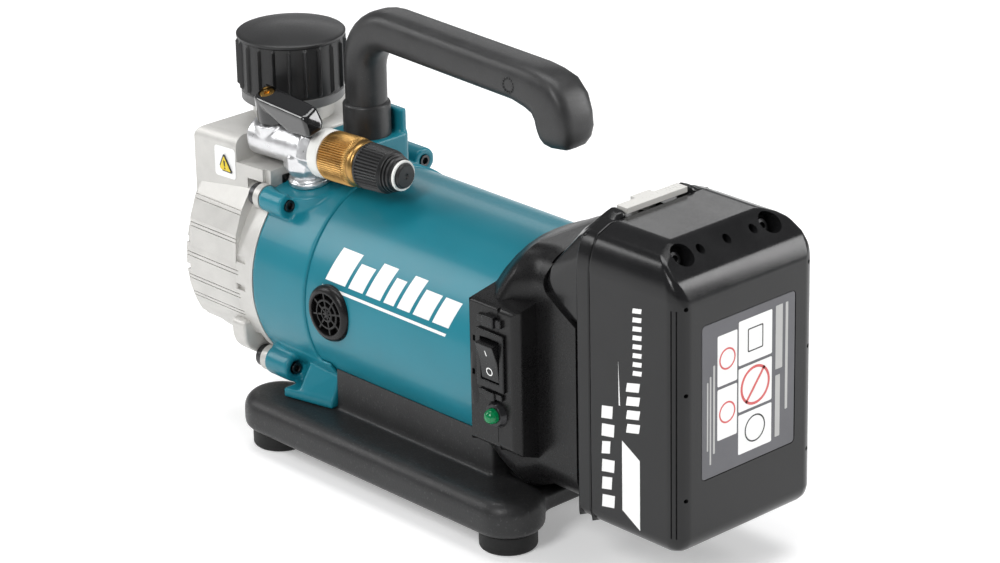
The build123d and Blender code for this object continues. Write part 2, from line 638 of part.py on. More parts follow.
RIM = (98.4, 98.4, AXIS_Z, 49.0)            # width, height, centre height, corner radius
PARTING = (91.0, 100.0, 71.5, 36.0)
ADAPTER = (75.0, 99.2, 74.9, 13.0)
front_outer = loft([rounded_section(X_HOUSING, *RIM), rounded_section(X_SPLIT, *PARTING)])
front_inner = loft([
    rounded_section(X_HOUSING, *RIM, inset=HOUSING_WALL),
    rounded_section(X_SPLIT, *PARTING, inset=HOUSING_WALL),
])
rear_outer = loft([rounded_section(X_SPLIT, *PARTING), rounded_section(X_ADAPTER, *ADAPTER)])
rear_inner = loft([
    rounded_section(X_SPLIT, *PARTING, inset=HOUSING_WALL),
    rounded_section(X_ADAPTER, *ADAPTER, inset=HOUSING_WALL),
])
panel_height = PANEL_Z1 - PANEL_Z0
SWITCH_HOLE_W = 12.0
SWITCH_HOLE_H = 19.4
LED_HOLE_R = 3.1
SHELL_SCREWS = [(-31.0, 38.5), (31.0, 38.5), (-32.0, 100.5), (32.0, 100.5)]
BOSS_R = 5.0

with BuildPart() as rear_housing_front:
    add(front_outer)
    with Locations((X_HOUSING, PANEL_Y, PANEL_Z0)):
        Box(X_SPLIT - X_HOUSING, 16, panel_height, align=LOW)
    add(front_inner, mode=Mode.SUBTRACT)
    with Locations((X_HOUSING + 2, PANEL_Y + HOUSING_WALL, PANEL_Z0 + HOUSING_WALL)):
        Box(X_SPLIT - X_HOUSING, 16, panel_height - 2 * HOUSING_WALL, align=LOW, mode=Mode.SUBTRACT)
    with Locations(along_x(X_HOUSING - 1)):
        Cylinder(TUBE_R, TUBE_END + 0.5 - X_HOUSING + 1, align=BASE_ALIGN, mode=Mode.SUBTRACT)
    for y, z in SHELL_SCREWS:
        with Locations(along_x(TUBE_END + 2, y, z)):
            Cylinder(BOSS_R, X_SPLIT - TUBE_END - 2, align=BASE_ALIGN)
            Cylinder(1.5, X_SPLIT - TUBE_END - 2, align=BASE_ALIGN, mode=Mode.SUBTRACT)
    with Locations((ROCKER_X, PANEL_Y, ROCKER_Z)):
        Box(SWITCH_HOLE_W, 12, SWITCH_HOLE_H, mode=Mode.SUBTRACT)
    with Locations(along_y(LED_X, PANEL_Y + 6, LED_Z)):
        Cylinder(LED_HOLE_R, 10, align=BASE_ALIGN, mode=Mode.SUBTRACT)
rear_housing_front.part.label = "rear_housing_front"
export_step(rear_housing_front.part, "parts/rear_housing_front.step")

RAIL_POCKET_HALF = 33.0      # inside of the adapter's side walls
POCKET_X = 70.5              # floor of the rail pocket
HUB_X = 71.0                 # inner face of the battery's rail hub
SHOULDER_X = 69.8            # inner face of the battery's top shoulder

with BuildPart() as rear_housing_rear:
    add(rear_outer)
    with BuildSketch(Plane.YZ.offset(X_ADAPTER)):
        with Locations((0, ADAPTER[2])):
            RectangleRounded(ADAPTER[0], ADAPTER[1], ADAPTER[3])
    extrude(amount=X_SEAT - X_ADAPTER)
    with Locations((X_SPLIT, PANEL_Y, PANEL_Z0)):
        Box(X_ADAPTER - X_SPLIT, 16, panel_height, align=LOW)
    add(rear_inner, mode=Mode.SUBTRACT)
    with Locations((X_SPLIT, PANEL_Y + HOUSING_WALL, PANEL_Z0 + HOUSING_WALL)):
        Box(X_ADAPTER - X_SPLIT - HOUSING_WALL, 16, panel_height - 2 * HOUSING_WALL, align=LOW,
            mode=Mode.SUBTRACT)
    with Locations((POCKET_X, -RAIL_POCKET_HALF, 31)):
        Box(40, 2 * RAIL_POCKET_HALF, 120, align=LOW, mode=Mode.SUBTRACT)
    with BuildSketch(Plane.XZ):
        with BuildLine():
            Polyline(
                (SHOULDER_X - 0.5, 140),
                (SHOULDER_X - 0.5, 113.0),
                (X_SEAT + 0.1, 101.0),
                (X_SEAT + 0.1, 140),
                close=True,
            )
        make_face()
    extrude(amount=60, both=True, mode=Mode.SUBTRACT)
    with Locations((ROCKER_X, PANEL_Y, ROCKER_Z)):
        Box(SWITCH_HOLE_W, 12, SWITCH_HOLE_H, mode=Mode.SUBTRACT)
    with Locations(along_y(LED_X, PANEL_Y + 6, LED_Z)):
        Cylinder(LED_HOLE_R, 10, align=BASE_ALIGN, mode=Mode.SUBTRACT)
    with Locations((X_ADAPTER - 2, 0, 60)):
        Box(POCKET_X - X_ADAPTER + 3, 44, 30, align=(Align.MIN, Align.CENTER, Align.MIN), mode=Mode.SUBTRACT)
    for y, z in SHELL_SCREWS:
        with Locations(along_x(X_SPLIT, y, z)):
            Cylinder(BOSS_R, X_ADAPTER - X_SPLIT, align=BASE_ALIGN)
            Cylinder(1.5, 20, align=BASE_ALIGN, mode=Mode.SUBTRACT)
        with Locations(along_x(POCKET_X - 2.2, y, z)):
            Cylinder(3.0, 6, align=BASE_ALIGN, mode=Mode.SUBTRACT)
    with Locations((POCKET_X - 2.5, -6, 98)):
        Box(6, 12, 40, align=LOW, mode=Mode.SUBTRACT)
    for side in (-1, 1):
        with Locations((POCKET_X + 6.3, side * 31.0, 36)):
            Box(3.0, 4.0, 56, align=(Align.MIN, Align.CENTER, Align.MIN))
rear_housing_rear.part.label = "rear_housing_rear"
export_step(rear_housing_rear.part, "parts/rear_housing_rear.step")

with BuildPart() as battery_terminals:
    with Locations((POCKET_X - 4.0, 0, 60)):
        Box(4.0, 44, 30, align=(Align.MIN, Align.CENTER, Align.MIN))
    with Locations((POCKET_X, -14, 62), (POCKET_X, 14, 62), (POCKET_X, 0, 62)):
        Box(6.0, 1.2, 20, align=(Align.MIN, Align.CENTER, Align.MIN))
battery_terminals.part.label = "battery_terminals"
export_step(battery_terminals.part, "parts/battery_terminals.step")

with BuildPart() as housing_screws:
    with Locations([along_x(POCKET_X - 2.2, y, z) for y, z in SHELL_SCREWS]):
        Cylinder(2.8, 2.0, align=BASE_ALIGN)
    with Locations([along_x(TUBE_END + 5, y, z) for y, z in SHELL_SCREWS]):
        Cylinder(1.5, POCKET_X - 2 - TUBE_END - 5, align=BASE_ALIGN)
housing_screws.part.label = "housing_screws"
export_step(housing_screws.part, "parts/housing_screws.step")

# ---------------------------------------------------------------- switch and lamp

BEZEL_T = 1.4

with BuildPart() as switch_body:
    with Locations((ROCKER_X, PANEL_Y - BEZEL_T, ROCKER_Z)):
        Box(15.0, BEZEL_T, 24.0, align=(Align.CENTER, Align.MIN, Align.CENTER))
    with Locations((ROCKER_X, PANEL_Y, ROCKER_Z)):
        Box(SWITCH_HOLE_W, 14.0, SWITCH_HOLE_H, align=(Align.CENTER, Align.MIN, Align.CENTER))
    with Locations((ROCKER_X, PANEL_Y - BEZEL_T, ROCKER_Z)):
        Box(10.2, 5.6, 17.8, align=(Align.CENTER, Align.MIN, Align.CENTER), mode=Mode.SUBTRACT)
switch_body.part.label = "switch_body"
export_step(switch_body.part, "parts/switch_body.step")

with BuildPart() as switch_rocker:
    with BuildSketch(Plane.YZ.offset(ROCKER_X - 4.9)):
        with BuildLine():
            Polyline(
                (PANEL_Y + 1.2, ROCKER_Z - 7.6),
                (PANEL_Y - 1.0, ROCKER_Z - 8.4),
                (PANEL_Y - 2.0, ROCKER_Z),
                (PANEL_Y - 4.6, ROCKER_Z + 7.4),
                (PANEL_Y + 0.2, ROCKER_Z + 8.0),
                (PANEL_Y + 2.2, ROCKER_Z + 1.5),
                (PANEL_Y + 2.2, ROCKER_Z - 1.5),
                close=True,
            )
        make_face()
    extrude(amount=9.8)
    with Locations(along_x(ROCKER_X - 4.9, PANEL_Y + 0.5, ROCKER_Z)):
        Cylinder(2.4, 9.8, align=BASE_ALIGN)
switch_rocker.part.label = "switch_rocker"
export_step(switch_rocker.part, "parts/switch_rocker.step")

with BuildPart() as led_bezel:
    with Locations(along_y(LED_X, PANEL_Y, LED_Z)):
        Cone(5.6, 4.4, 2.4, align=BASE_ALIGN)
        Cylinder(LED_HOLE_R, 2.4, align=BASE_ALIGN, mode=Mode.SUBTRACT)
led_bezel.part.label = "led_bezel"
export_step(led_bezel.part, "parts/led_bezel.step")

with BuildPart() as led_lens:
    with Locations(along_y(LED_X, PANEL_Y + 5, LED_Z)):
        Cylinder(LED_HOLE_R - 0.1, 8.2, align=BASE_ALIGN)
    with Locations(along_y(LED_X, PANEL_Y - 3.2, LED_Z)):
        Sphere(LED_HOLE_R - 0.1)
led_lens.part.label = "led_lens"
export_step(led_lens.part, "parts/led_lens.step")

with BuildPart() as controller_board:
    with Locations((62, 0, 70)):
        Box(1.6, 52, 48, align=(Align.MIN, Align.CENTER, Align.CENTER))
    with Locations((58, -12, 70), (58, 12, 70)):
        Box(4, 10, 16, align=(Align.MIN, Align.CENTER, Align.CENTER))
controller_board.part.label = "controller_board"
export_step(controller_board.part, "parts/controller_board.step")

# ---------------------------------------------------------------- vane pump

X_FRONT_PLATE = -101.5
X_PUMP_END = -127.0
X_END_PLATE = -131.0
PUMP_R = 34.0
REED_Z = 100.0
PUMP_SCREW_R = 30.0
ROTOR_GAP = 0.1          # running clearance at the rotor's ends
VANE_T = 3.9
SLOT_T = 4.0


def pump_screw_points():
    """Screw centres round the pump, in the YZ plane."""
    places = PolarLocations(PUMP_SCREW_R, 4, start_angle=45)
    return [(place.position.X, AXIS_Z + place.position.Y) for place in places]


with BuildPart() as pump_front_plate:
    with Locations(along_x(X_FRONT_PLATE)):
        Cylinder(36.0, X_JOINT - X_FRONT_PLATE, align=BASE_ALIGN)
        Cylinder(SHAFT_R + 0.05, 10, align=BASE_ALIGN, mode=Mode.SUBTRACT)
    with Locations([along_x(X_FRONT_PLATE, y, z) for y, z in pump_screw_points()]):
        Cylinder(2.0, 6, align=BASE_ALIGN, mode=Mode.SUBTRACT)
pump_front_plate.part.label = "pump_front_plate"
export_step(pump_front_plate.part, "parts/pump_front_plate.step")

with BuildPart() as pump_cylinder:
    with Locations(along_x(X_PUMP_END)):
        Cylinder(PUMP_R, X_FRONT_PLATE - X_PUMP_END, align=BASE_ALIGN)
    with Locations(along_x(X_PUMP_END, 0, AXIS_Z + PUMP_OFFSET)):
        Cylinder(PUMP_BORE_R, 40, align=BASE_ALIGN, mode=Mode.SUBTRACT)
    with Locations((X_PUMP_END, -40, REED_Z)):
        Box(40, 80, 10, align=LOW, mode=Mode.SUBTRACT)
    with Locations((-118, 0, 90), (-110, 0, 90)):
        Cylinder(1.8, 20, align=BASE_ALIGN, mode=Mode.SUBTRACT)
    with Locations([along_x(X_PUMP_END, y, z) for y, z in pump_screw_points()]):
        Cylinder(2.0, 40, align=BASE_ALIGN, mode=Mode.SUBTRACT)
pump_cylinder.part.label = "pump_cylinder"
export_step(pump_cylinder.part, "parts/pump_cylinder.step")

with BuildPart() as pump_end_plate:
    with Locations(along_x(X_END_PLATE)):
        Cylinder(PUMP_R, X_PUMP_END - X_END_PLATE, align=BASE_ALIGN)
        Cylinder(SHAFT_R + 0.05, 10, align=BASE_ALIGN, mode=Mode.SUBTRACT)
    with Locations((X_END_PLATE - 1, -40, REED_Z)):
        Box(40, 80, 10, align=LOW, mode=Mode.SUBTRACT)
    with Locations([along_x(X_END_PLATE, y, z) for y, z in pump_screw_points()]):
        Cylinder(2.0, 40, align=BASE_ALIGN, mode=Mode.SUBTRACT)
pump_end_plate.part.label = "pump_end_plate"
export_step(pump_end_plate.part, "parts/pump_end_plate.step")

with BuildPart() as pump_screws:
    with Locations([along_x(X_END_PLATE - 1.8, y, z) for y, z in pump_screw_points()]):
        Cylinder(3.4, 1.8, align=BASE_ALIGN)
        Cylinder(2.0, 37, align=BASE_ALIGN)
pump_screws.part.label = "pump_screws"
export_step(pump_screws.part, "parts/pump_screws.step")

with BuildPart() as exhaust_reed:
    with Locations((-114, 0, REED_Z)):
        Box(18, 8, 0.4, align=BASE_ALIGN)
    with Locations((-114, 0, REED_Z + 0.4)):
        Box(18, 8, 1.4, align=BASE_ALIGN)
exhaust_reed.part.label = "exhaust_reed"
export_step(exhaust_reed.part, "parts/exhaust_reed.step")

with BuildPart() as oil_baffle:
    with Locations((-114, 0, 107)):
        Box(36, 57, 1.5, align=BASE_ALIGN)
        with GridLocations(9, 11, 3, 4):
            Cylinder(2.5, 8, mode=Mode.SUBTRACT)
oil_baffle.part.label = "oil_baffle"
export_step(oil_baffle.part, "parts/oil_baffle.step")

with BuildPart() as pump_rotor:
    with Locations(along_x(X_PUMP_END + ROTOR_GAP)):
        Cylinder(PUMP_ROTOR_R, X_FRONT_PLATE - X_PUMP_END - 2 * ROTOR_GAP, align=BASE_ALIGN)
        Cylinder(SHAFT_R, 40, align=BASE_ALIGN, mode=Mode.SUBTRACT)
    for side in (-1, 1):
        with Locations((X_PUMP_END, side * 15, AXIS_Z)):
            Box(40, 13, SLOT_T, align=(Align.MIN, Align.CENTER, Align.CENTER), mode=Mode.SUBTRACT)
pump_rotor.part.label = "pump_rotor"
export_step(pump_rotor.part, "parts/pump_rotor.step")

with BuildPart() as vanes:
    for side in (-1, 1):
        with Locations((X_PUMP_END + ROTOR_GAP, side * 14.5, AXIS_Z)):
            Box(X_FRONT_PLATE - X_PUMP_END - 2 * ROTOR_GAP, 11, VANE_T,
                align=(Align.MIN, Align.CENTER, Align.CENTER))
vanes.part.label = "vanes"
export_step(vanes.part, "parts/vanes.step")

# ---------------------------------------------------------------- motor

STATOR_X0 = -38.0
STATOR_LENGTH = 50.0
STATOR_TEETH = 9
SHAFT_X1 = 43.0

with BuildPart() as shaft:
    with Locations(along_x(X_END_PLATE + 0.5)):
        Cylinder(SHAFT_R, SHAFT_X1 - X_END_PLATE - 0.5, align=BASE_ALIGN)
shaft.part.label = "shaft"
export_step(shaft.part, "parts/shaft.step")

with BuildPart() as shaft_seal:
    with Locations(along_x(X_JOINT + 0.5)):
        Cylinder(8.5, 4.0, align=BASE_ALIGN)
        Cylinder(SHAFT_R + 0.05, 4.0, align=BASE_ALIGN, mode=Mode.SUBTRACT)
shaft_seal.part.label = "shaft_seal"
export_step(shaft_seal.part, "parts/shaft_seal.step")

FRONT_BEARING_X = X_JOINT + 5
REAR_BEARING_X = 35.0

with BuildPart() as ball_bearings:
    for bearing_x in (FRONT_BEARING_X, REAR_BEARING_X):
        with Locations(along_x(bearing_x)):
            Cylinder(BEARING_R, BEARING_W, align=BASE_ALIGN)
            Cylinder(10.4, BEARING_W, align=BASE_ALIGN, mode=Mode.SUBTRACT)
            Cylinder(7.4, BEARING_W, align=BASE_ALIGN)
            Cylinder(SHAFT_R + SHAFT_GAP, BEARING_W, align=BASE_ALIGN, mode=Mode.SUBTRACT)
        with BuildSketch(Plane.YZ.offset(bearing_x + BEARING_W / 2 - 1)):
            with Locations((0, AXIS_Z)):
                Circle(10.4)
                Circle(7.4, mode=Mode.SUBTRACT)
        extrude(amount=2)
ball_bearings.part.label = "ball_bearings"
export_step(ball_bearings.part, "parts/ball_bearings.step")

with BuildPart() as rear_shield:
    with Locations(along_x(34)):
        Cylinder(TUBE_R - TUBE_WALL, 4, align=BASE_ALIGN)
        Cylinder(17, 10, align=BASE_ALIGN)
        Cylinder(8, 10, align=BASE_ALIGN, mode=Mode.SUBTRACT)
    with Locations(along_x(REAR_BEARING_X)):
        Cylinder(BEARING_R, 20, align=BASE_ALIGN, mode=Mode.SUBTRACT)
        with PolarLocations(31, 6):
            Cylinder(9, 20, mode=Mode.SUBTRACT)
rear_shield.part.label = "rear_shield"
export_step(rear_shield.part, "parts/rear_shield.step")

with BuildPart() as stator_core:
    with Locations(along_x(STATOR_X0)):
        Cylinder(TUBE_R - TUBE_WALL, STATOR_LENGTH, align=BASE_ALIGN)
        Cylinder(25.0, STATOR_LENGTH, align=BASE_ALIGN, mode=Mode.SUBTRACT)
        with PolarLocations(34, STATOR_TEETH):
            Cylinder(6.0, STATOR_LENGTH, align=BASE_ALIGN, mode=Mode.SUBTRACT)
stator_core.part.label = "stator_core"
export_step(stator_core.part, "parts/stator_core.step")

with BuildPart() as stator_windings:
    with Locations(along_x(STATOR_X0 - 7)):
        with PolarLocations(34, STATOR_TEETH):
            Cylinder(5.9, STATOR_LENGTH + 14, align=BASE_ALIGN)
stator_windings.part.label = "stator_windings"
export_step(stator_windings.part, "parts/stator_windings.step")

with BuildPart() as magnet_rotor:
    with Locations(along_x(STATOR_X0)):
        Cylinder(24.4, STATOR_LENGTH, align=BASE_ALIGN)
        Cylinder(SHAFT_R, STATOR_LENGTH, align=BASE_ALIGN, mode=Mode.SUBTRACT)
magnet_rotor.part.label = "magnet_rotor"
export_step(magnet_rotor.part, "parts/magnet_rotor.step")

with BuildPart() as cooling_fan:
    with Locations(along_x(22)):
        Cylinder(11, 9, align=BASE_ALIGN)
        Cylinder(40, 1.5, align=BASE_ALIGN)
        with PolarLocations(25, 9):
            Box(30, 1.4, 9, align=BASE_ALIGN)
        Cylinder(SHAFT_R, 20, align=BASE_ALIGN, mode=Mode.SUBTRACT)
cooling_fan.part.label = "cooling_fan"
export_step(cooling_fan.part, "parts/cooling_fan.step")

# ---------------------------------------------------------------- battery pack

BATTERY_Z0 = 21.4
BATTERY_Z1 = 133.0
PLATEAU_Z = 142.3
PLATEAU_HALF = 23.5
PLATEAU_X1 = 125.5
RIDGE_TOP = 145.0
RIDGE_HALF = 24.0
BUTTON_HALF = 16.3
CELL_R = 9.1
CELL_LENGTH = 65.0

with BuildPart() as battery_case:
    with BuildSketch(Plane.YZ.offset(X_SEAM)):
        with BuildLine():
            Polyline(
                (-BATTERY_HALF_Y, BATTERY_Z0),
                (BATTERY_HALF_Y, BATTERY_Z0),
                (BATTERY_HALF_Y, BATTERY_Z1 - 4),
                (PLATEAU_HALF + 9, BATTERY_Z1 + 2.5),
                (PLATEAU_HALF, PLATEAU_Z),
                (-PLATEAU_HALF, PLATEAU_Z),
                (-PLATEAU_HALF - 9, BATTERY_Z1 + 2.5),
                (-BATTERY_HALF_Y, BATTERY_Z1 - 4),
                close=True,
            )
        make_face()
    extrude(amount=X_LABEL - X_SEAM)
    fillet(battery_case.edges().filter_by(Axis.X).group_by(Axis.Z)[0], 9)
    with BuildSketch(Plane.XZ):
        with BuildLine():
            Polyline(
                (PLATEAU_X1, PLATEAU_Z),
                (137.0, 133.0),
                (X_LABEL, 125.0),
                (X_LABEL + 5, 125.0),
                (X_LABEL + 5, 150.0),
                (PLATEAU_X1, 150.0),
                close=True,
            )
        make_face()
    extrude(amount=60, both=True, mode=Mode.SUBTRACT)
    with Locations((X_SEAM, -34.0, 25.0)):
        Box(44.0, 68.0, 99.5, align=LOW, mode=Mode.SUBTRACT)
    with Locations((X_LABEL - 0.5, 0, 82.0)):
        Box(3, 50.6, 62.7, align=(Align.MIN, Align.CENTER, Align.CENTER), mode=Mode.SUBTRACT)
    for y in (-23.5, 23.5):
        with Locations((131.5, y, 132)):
            Cylinder(3.4, 12, align=BASE_ALIGN, mode=Mode.SUBTRACT)
battery_case.part.label = "battery_case"
export_step(battery_case.part, "parts/battery_case.step")

with BuildPart() as battery_rail_case:
    with BuildSketch(Plane.YZ.offset(X_LIP)):
        with Locations((0, (BATTERY_Z0 + BATTERY_Z1) / 2)):
            RectangleRounded(2 * BATTERY_HALF_Y, BATTERY_Z1 - BATTERY_Z0, 9)
    extrude(amount=X_SEAM - X_LIP)
    with BuildSketch(Plane.XZ.offset(-BATTERY_HALF_Y)):
        with BuildLine():
            Polyline(
                (SHOULDER_X, 113.6),
                (X_LIP, 101.5),
                (X_SEAM, 101.5),
                (X_SEAM, 128.0),
                (X_LIP, BATTERY_Z1),
                (SHOULDER_X + 5, 126.0),
                (SHOULDER_X, 121.0),
                close=True,
            )
        make_face()
    extrude(amount=2 * BATTERY_HALF_Y)
    with BuildSketch(Plane.XZ.offset(-RIDGE_HALF)):
        with BuildLine():
            Polyline(
                (SHOULDER_X + 1, 120.0),
                (SHOULDER_X + 4, 126.0),
                (84.0, 141.0),
                (88.0, RIDGE_TOP),
                (94.3, RIDGE_TOP),
                (X_SEAM, RIDGE_TOP - 1),
                (X_SEAM, 120.0),
                close=True,
            )
        make_face()
    extrude(amount=2 * RIDGE_HALF)
    with Locations((HUB_X, -32.5, 31.5)):
        Box(X_LIP - HUB_X, 65, 84, align=LOW)
    with Locations((POCKET_X + 6.0, -45, 30)):
        Box(3.6, 16.3, 63, align=LOW, mode=Mode.SUBTRACT)
    with Locations((POCKET_X + 6.0, 28.7, 30)):
        Box(3.6, 16.3, 63, align=LOW, mode=Mode.SUBTRACT)
    for y in (-14, 0, 14):
        with Locations((HUB_X - 1, y, 30)):
            Box(7.0, 2.4, 54, align=(Align.MIN, Align.CENTER, Align.MIN), mode=Mode.SUBTRACT)
    with Locations((HUB_X - 3, -5.4, 97.5)):
        Box(26, 10.8, 9, align=LOW, mode=Mode.SUBTRACT)
    with Locations((84.0, -5.4, 97.5)):
        Box(9.4, 10.8, 60, align=LOW, mode=Mode.SUBTRACT)
    with Locations((88.0, -BUTTON_HALF - 0.4, PLATEAU_Z)):
        Box(10, 2 * BUTTON_HALF + 0.8, 5, align=LOW, mode=Mode.SUBTRACT)
    with Locations((89.6, -31, 30)):
        Box(6, 62, 60, align=LOW, mode=Mode.SUBTRACT)
battery_rail_case.part.label = "battery_rail_case"
export_step(battery_rail_case.part, "parts/battery_rail_case.step")

with BuildPart() as battery_cells:
    for x in (106.0, 125.5):
        for row in range(5):
            with Locations(along_y(x, CELL_LENGTH / 2, 35.5 + 19.4 * row)):
                Cylinder(CELL_R, CELL_LENGTH, align=BASE_ALIGN)
battery_cells.part.label = "battery_cells"
export_step(battery_cells.part, "parts/battery_cells.step")

with BuildPart() as battery_board:
    with Locations((92.0, 0, 60)):
        Box(1.6, 56, 56, align=(Align.MIN, Align.CENTER, Align.CENTER))
battery_board.part.label = "battery_board"
export_step(battery_board.part, "parts/battery_board.step")

with BuildPart() as battery_screws:
    with Locations((131.5, -23.5, 132), (131.5, 23.5, 132)):
        Cylinder(3.3, 2.5, align=BASE_ALIGN)
    with Locations((131.5, -23.5, 133.2), (131.5, 23.5, 133.2)):
        Cylinder(1.3, 2.5, align=BASE_ALIGN, mode=Mode.SUBTRACT)
battery_screws.part.label = "battery_screws"
export_step(battery_screws.part, "parts/battery_screws.step")

with BuildPart() as battery_label:
    with BuildSketch(Plane.YZ.offset(X_LABEL - 0.5)):
        with Locations((0, 82.0)):
            RectangleRounded(50.4, 62.5, 1.5)
    extrude(amount=0.4)
battery_label.part.label = "battery_label"
export_step(battery_label.part, "parts/battery_label.step")

with BuildPart() as release_button:
    with Locations((88.6, 0, PLATEAU_Z + 0.3)):
        Box(5.7, 2 * BUTTON_HALF, 2.4, align=(Align.MIN, Align.CENTER, Align.MIN))
    with Locations((84.6, 0, 98.5)):
        Box(4.2, 10, PLATEAU_Z - 98, align=(Align.MIN, Align.CENTER, Align.MIN))
    with Locations((84.6, 0, PLATEAU_Z - 1.5)):
        Box(4.6, 10, 3.5, align=(Align.MIN, Align.CENTER, Align.MIN))
    with Locations((68.5, 0, 98.5)):
        Box(17, 10, 6.5, align=(Align.MIN, Align.CENTER, Align.MIN))
release_button.part.label = "release_button"
export_step(release_button.part, "parts/release_button.step")
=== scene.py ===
"""Looks for the cordless vacuum pump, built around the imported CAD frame.

Shapes are written in millimetres in the CAD frame (+X along the motor axis, -Y the switch side, +Z up)
and become metres in the one function that makes meshes.
"""

import json
import math
from math import cos, pi, radians, sin

import bmesh
import bpy
from mathutils import Matrix, Vector


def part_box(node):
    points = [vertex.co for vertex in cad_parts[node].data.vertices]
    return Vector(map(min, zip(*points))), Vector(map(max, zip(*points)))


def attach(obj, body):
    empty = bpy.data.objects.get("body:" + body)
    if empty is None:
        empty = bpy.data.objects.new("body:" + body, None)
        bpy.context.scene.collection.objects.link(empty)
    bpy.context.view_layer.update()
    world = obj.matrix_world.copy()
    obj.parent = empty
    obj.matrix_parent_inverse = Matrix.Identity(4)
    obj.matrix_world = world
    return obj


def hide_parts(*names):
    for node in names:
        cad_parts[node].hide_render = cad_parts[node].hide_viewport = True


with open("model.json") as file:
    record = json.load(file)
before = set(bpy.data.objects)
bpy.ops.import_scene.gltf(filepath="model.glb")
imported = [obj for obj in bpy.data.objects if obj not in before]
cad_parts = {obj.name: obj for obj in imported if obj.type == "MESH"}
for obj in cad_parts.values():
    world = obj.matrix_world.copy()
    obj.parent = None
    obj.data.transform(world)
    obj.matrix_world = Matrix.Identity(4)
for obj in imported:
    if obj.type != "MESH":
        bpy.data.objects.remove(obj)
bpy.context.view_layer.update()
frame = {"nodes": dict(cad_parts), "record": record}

MM = 0.001
AXIS_Z, TUBE_R = 69.0, 46.6     # height of the motor axis, radius of the motor tube
RECORD = frame["record"]
NODE_BODY = {n: body for body, members in RECORD["behaviour"]["bodies"].items() for n in members}
NODE_SLOT = {s["node"]: s["material_slot"] for s in RECORD["subparts"]}


def node_box(node):
    """Lowest and highest corner of a CAD node, in millimetres."""
    low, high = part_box(node)
    return low / MM, high / MM


def centre_of(node):
    low, high = node_box(node)
    return (low + high) / 2


# ---- materials

def put(node, values):
    """Sets unlinked inputs of a shader node."""
    for socket, value in values.items():
        node.inputs[socket].default_value = value


def link_noise(tree, coords, scale, detail=3.0, roughness=0.55):
    noise = tree.nodes.new("ShaderNodeTexNoise")
    put(noise, {"Scale": scale, "Detail": detail, "Roughness": roughness})
    tree.links.new(coords, noise.inputs["Vector"])
    return noise.outputs["Fac"]


def link_range(tree, value, low, high, start=0.3, end=0.7):
    node = tree.nodes.new("ShaderNodeMapRange")
    put(node, {"From Min": start, "From Max": end, "To Min": low, "To Max": high})
    tree.links.new(value, node.inputs["Value"])
    return node.outputs["Result"]


def link_mix(tree, factor, first, second):
    """Colour mix; first and second are colours or sockets."""
    node = tree.nodes.new("ShaderNodeMix")
    node.data_type = "RGBA"
    tree.links.new(factor, node.inputs["Factor"])
    for socket, value in ((node.inputs[6], first), (node.inputs[7], second)):
        if isinstance(value, (tuple, list)):
            socket.default_value = (*value[:3], 1.0)
        else:
            tree.links.new(value, socket)
    return node.outputs[2]


def surface(name, colour, rough, metallic=0.0, spread=0.06, mottle=0.12, cloud=60.0, grain=1500.0, bump=0.1,
            bump_size=0.05, coat=0.0, coat_rough=0.1, specular=0.5, transmission=0.0, pits=0.0,
            pit_scale=900.0, fleck=0.0, emission=0.0):
    """A procedural finish: cloudy colour, uneven gloss, fine grain, optional pits and flecks.
    bump_size is in millimetres."""
    material = bpy.data.materials.new(name)
    material.use_nodes = True
    tree = material.node_tree
    shader = tree.nodes["Principled BSDF"]
    coords = tree.nodes.new("ShaderNodeTexCoord").outputs["Object"]
    cloudy = link_noise(tree, coords, cloud, 4.0)
    fine = link_noise(tree, coords, grain, 3.0)
    dark = tuple(c * (1 - mottle) for c in colour)
    light = tuple(min(1.0, c * (1 + mottle)) for c in colour)
    mixed = link_mix(tree, link_range(tree, cloudy, 0.0, 1.0), dark, light)
    if fleck:
        speck = link_noise(tree, coords, grain * 0.8, 2.0)
        mixed = link_mix(tree, link_range(tree, speck, 0.0, 1.0, 0.62, 0.74), mixed,
                         tuple(min(1.0, c + fleck) for c in colour))
    tree.links.new(mixed, shader.inputs["Base Color"])
    both = tree.nodes.new("ShaderNodeMath")
    both.operation = "ADD"
    tree.links.new(link_range(tree, fine, rough - spread, rough + spread), both.inputs[0])
    tree.links.new(link_range(tree, cloudy, -spread / 2, spread / 2), both.inputs[1])
    tree.links.new(both.outputs[0], shader.inputs["Roughness"])
    height = fine
    if pits:
        cells = tree.nodes.new("ShaderNodeTexVoronoi")
        put(cells, {"Scale": pit_scale})
        tree.links.new(coords, cells.inputs["Vector"])
        joined = tree.nodes.new("ShaderNodeMath")
        joined.operation = "ADD"
        tree.links.new(fine, joined.inputs[0])
        tree.links.new(link_range(tree, cells.outputs["Distance"], -pits, 0.0, 0.0, 0.5), joined.inputs[1])
        height = joined.outputs[0]
    bumps = tree.nodes.new("ShaderNodeBump")
    put(bumps, {"Strength": bump, "Distance": bump_size * MM})
    tree.links.new(height, bumps.inputs["Height"])
    tree.links.new(bumps.outputs["Normal"], shader.inputs["Normal"])
    put(shader, {"Metallic": metallic, "Specular IOR Level": specular, "Coat Weight": coat,
                 "Coat Roughness": coat_rough, "Transmission Weight": transmission, "IOR": 1.45})
    if emission:
        put(shader, {"Emission Color": (*colour, 1.0), "Emission Strength": emission})
    return material


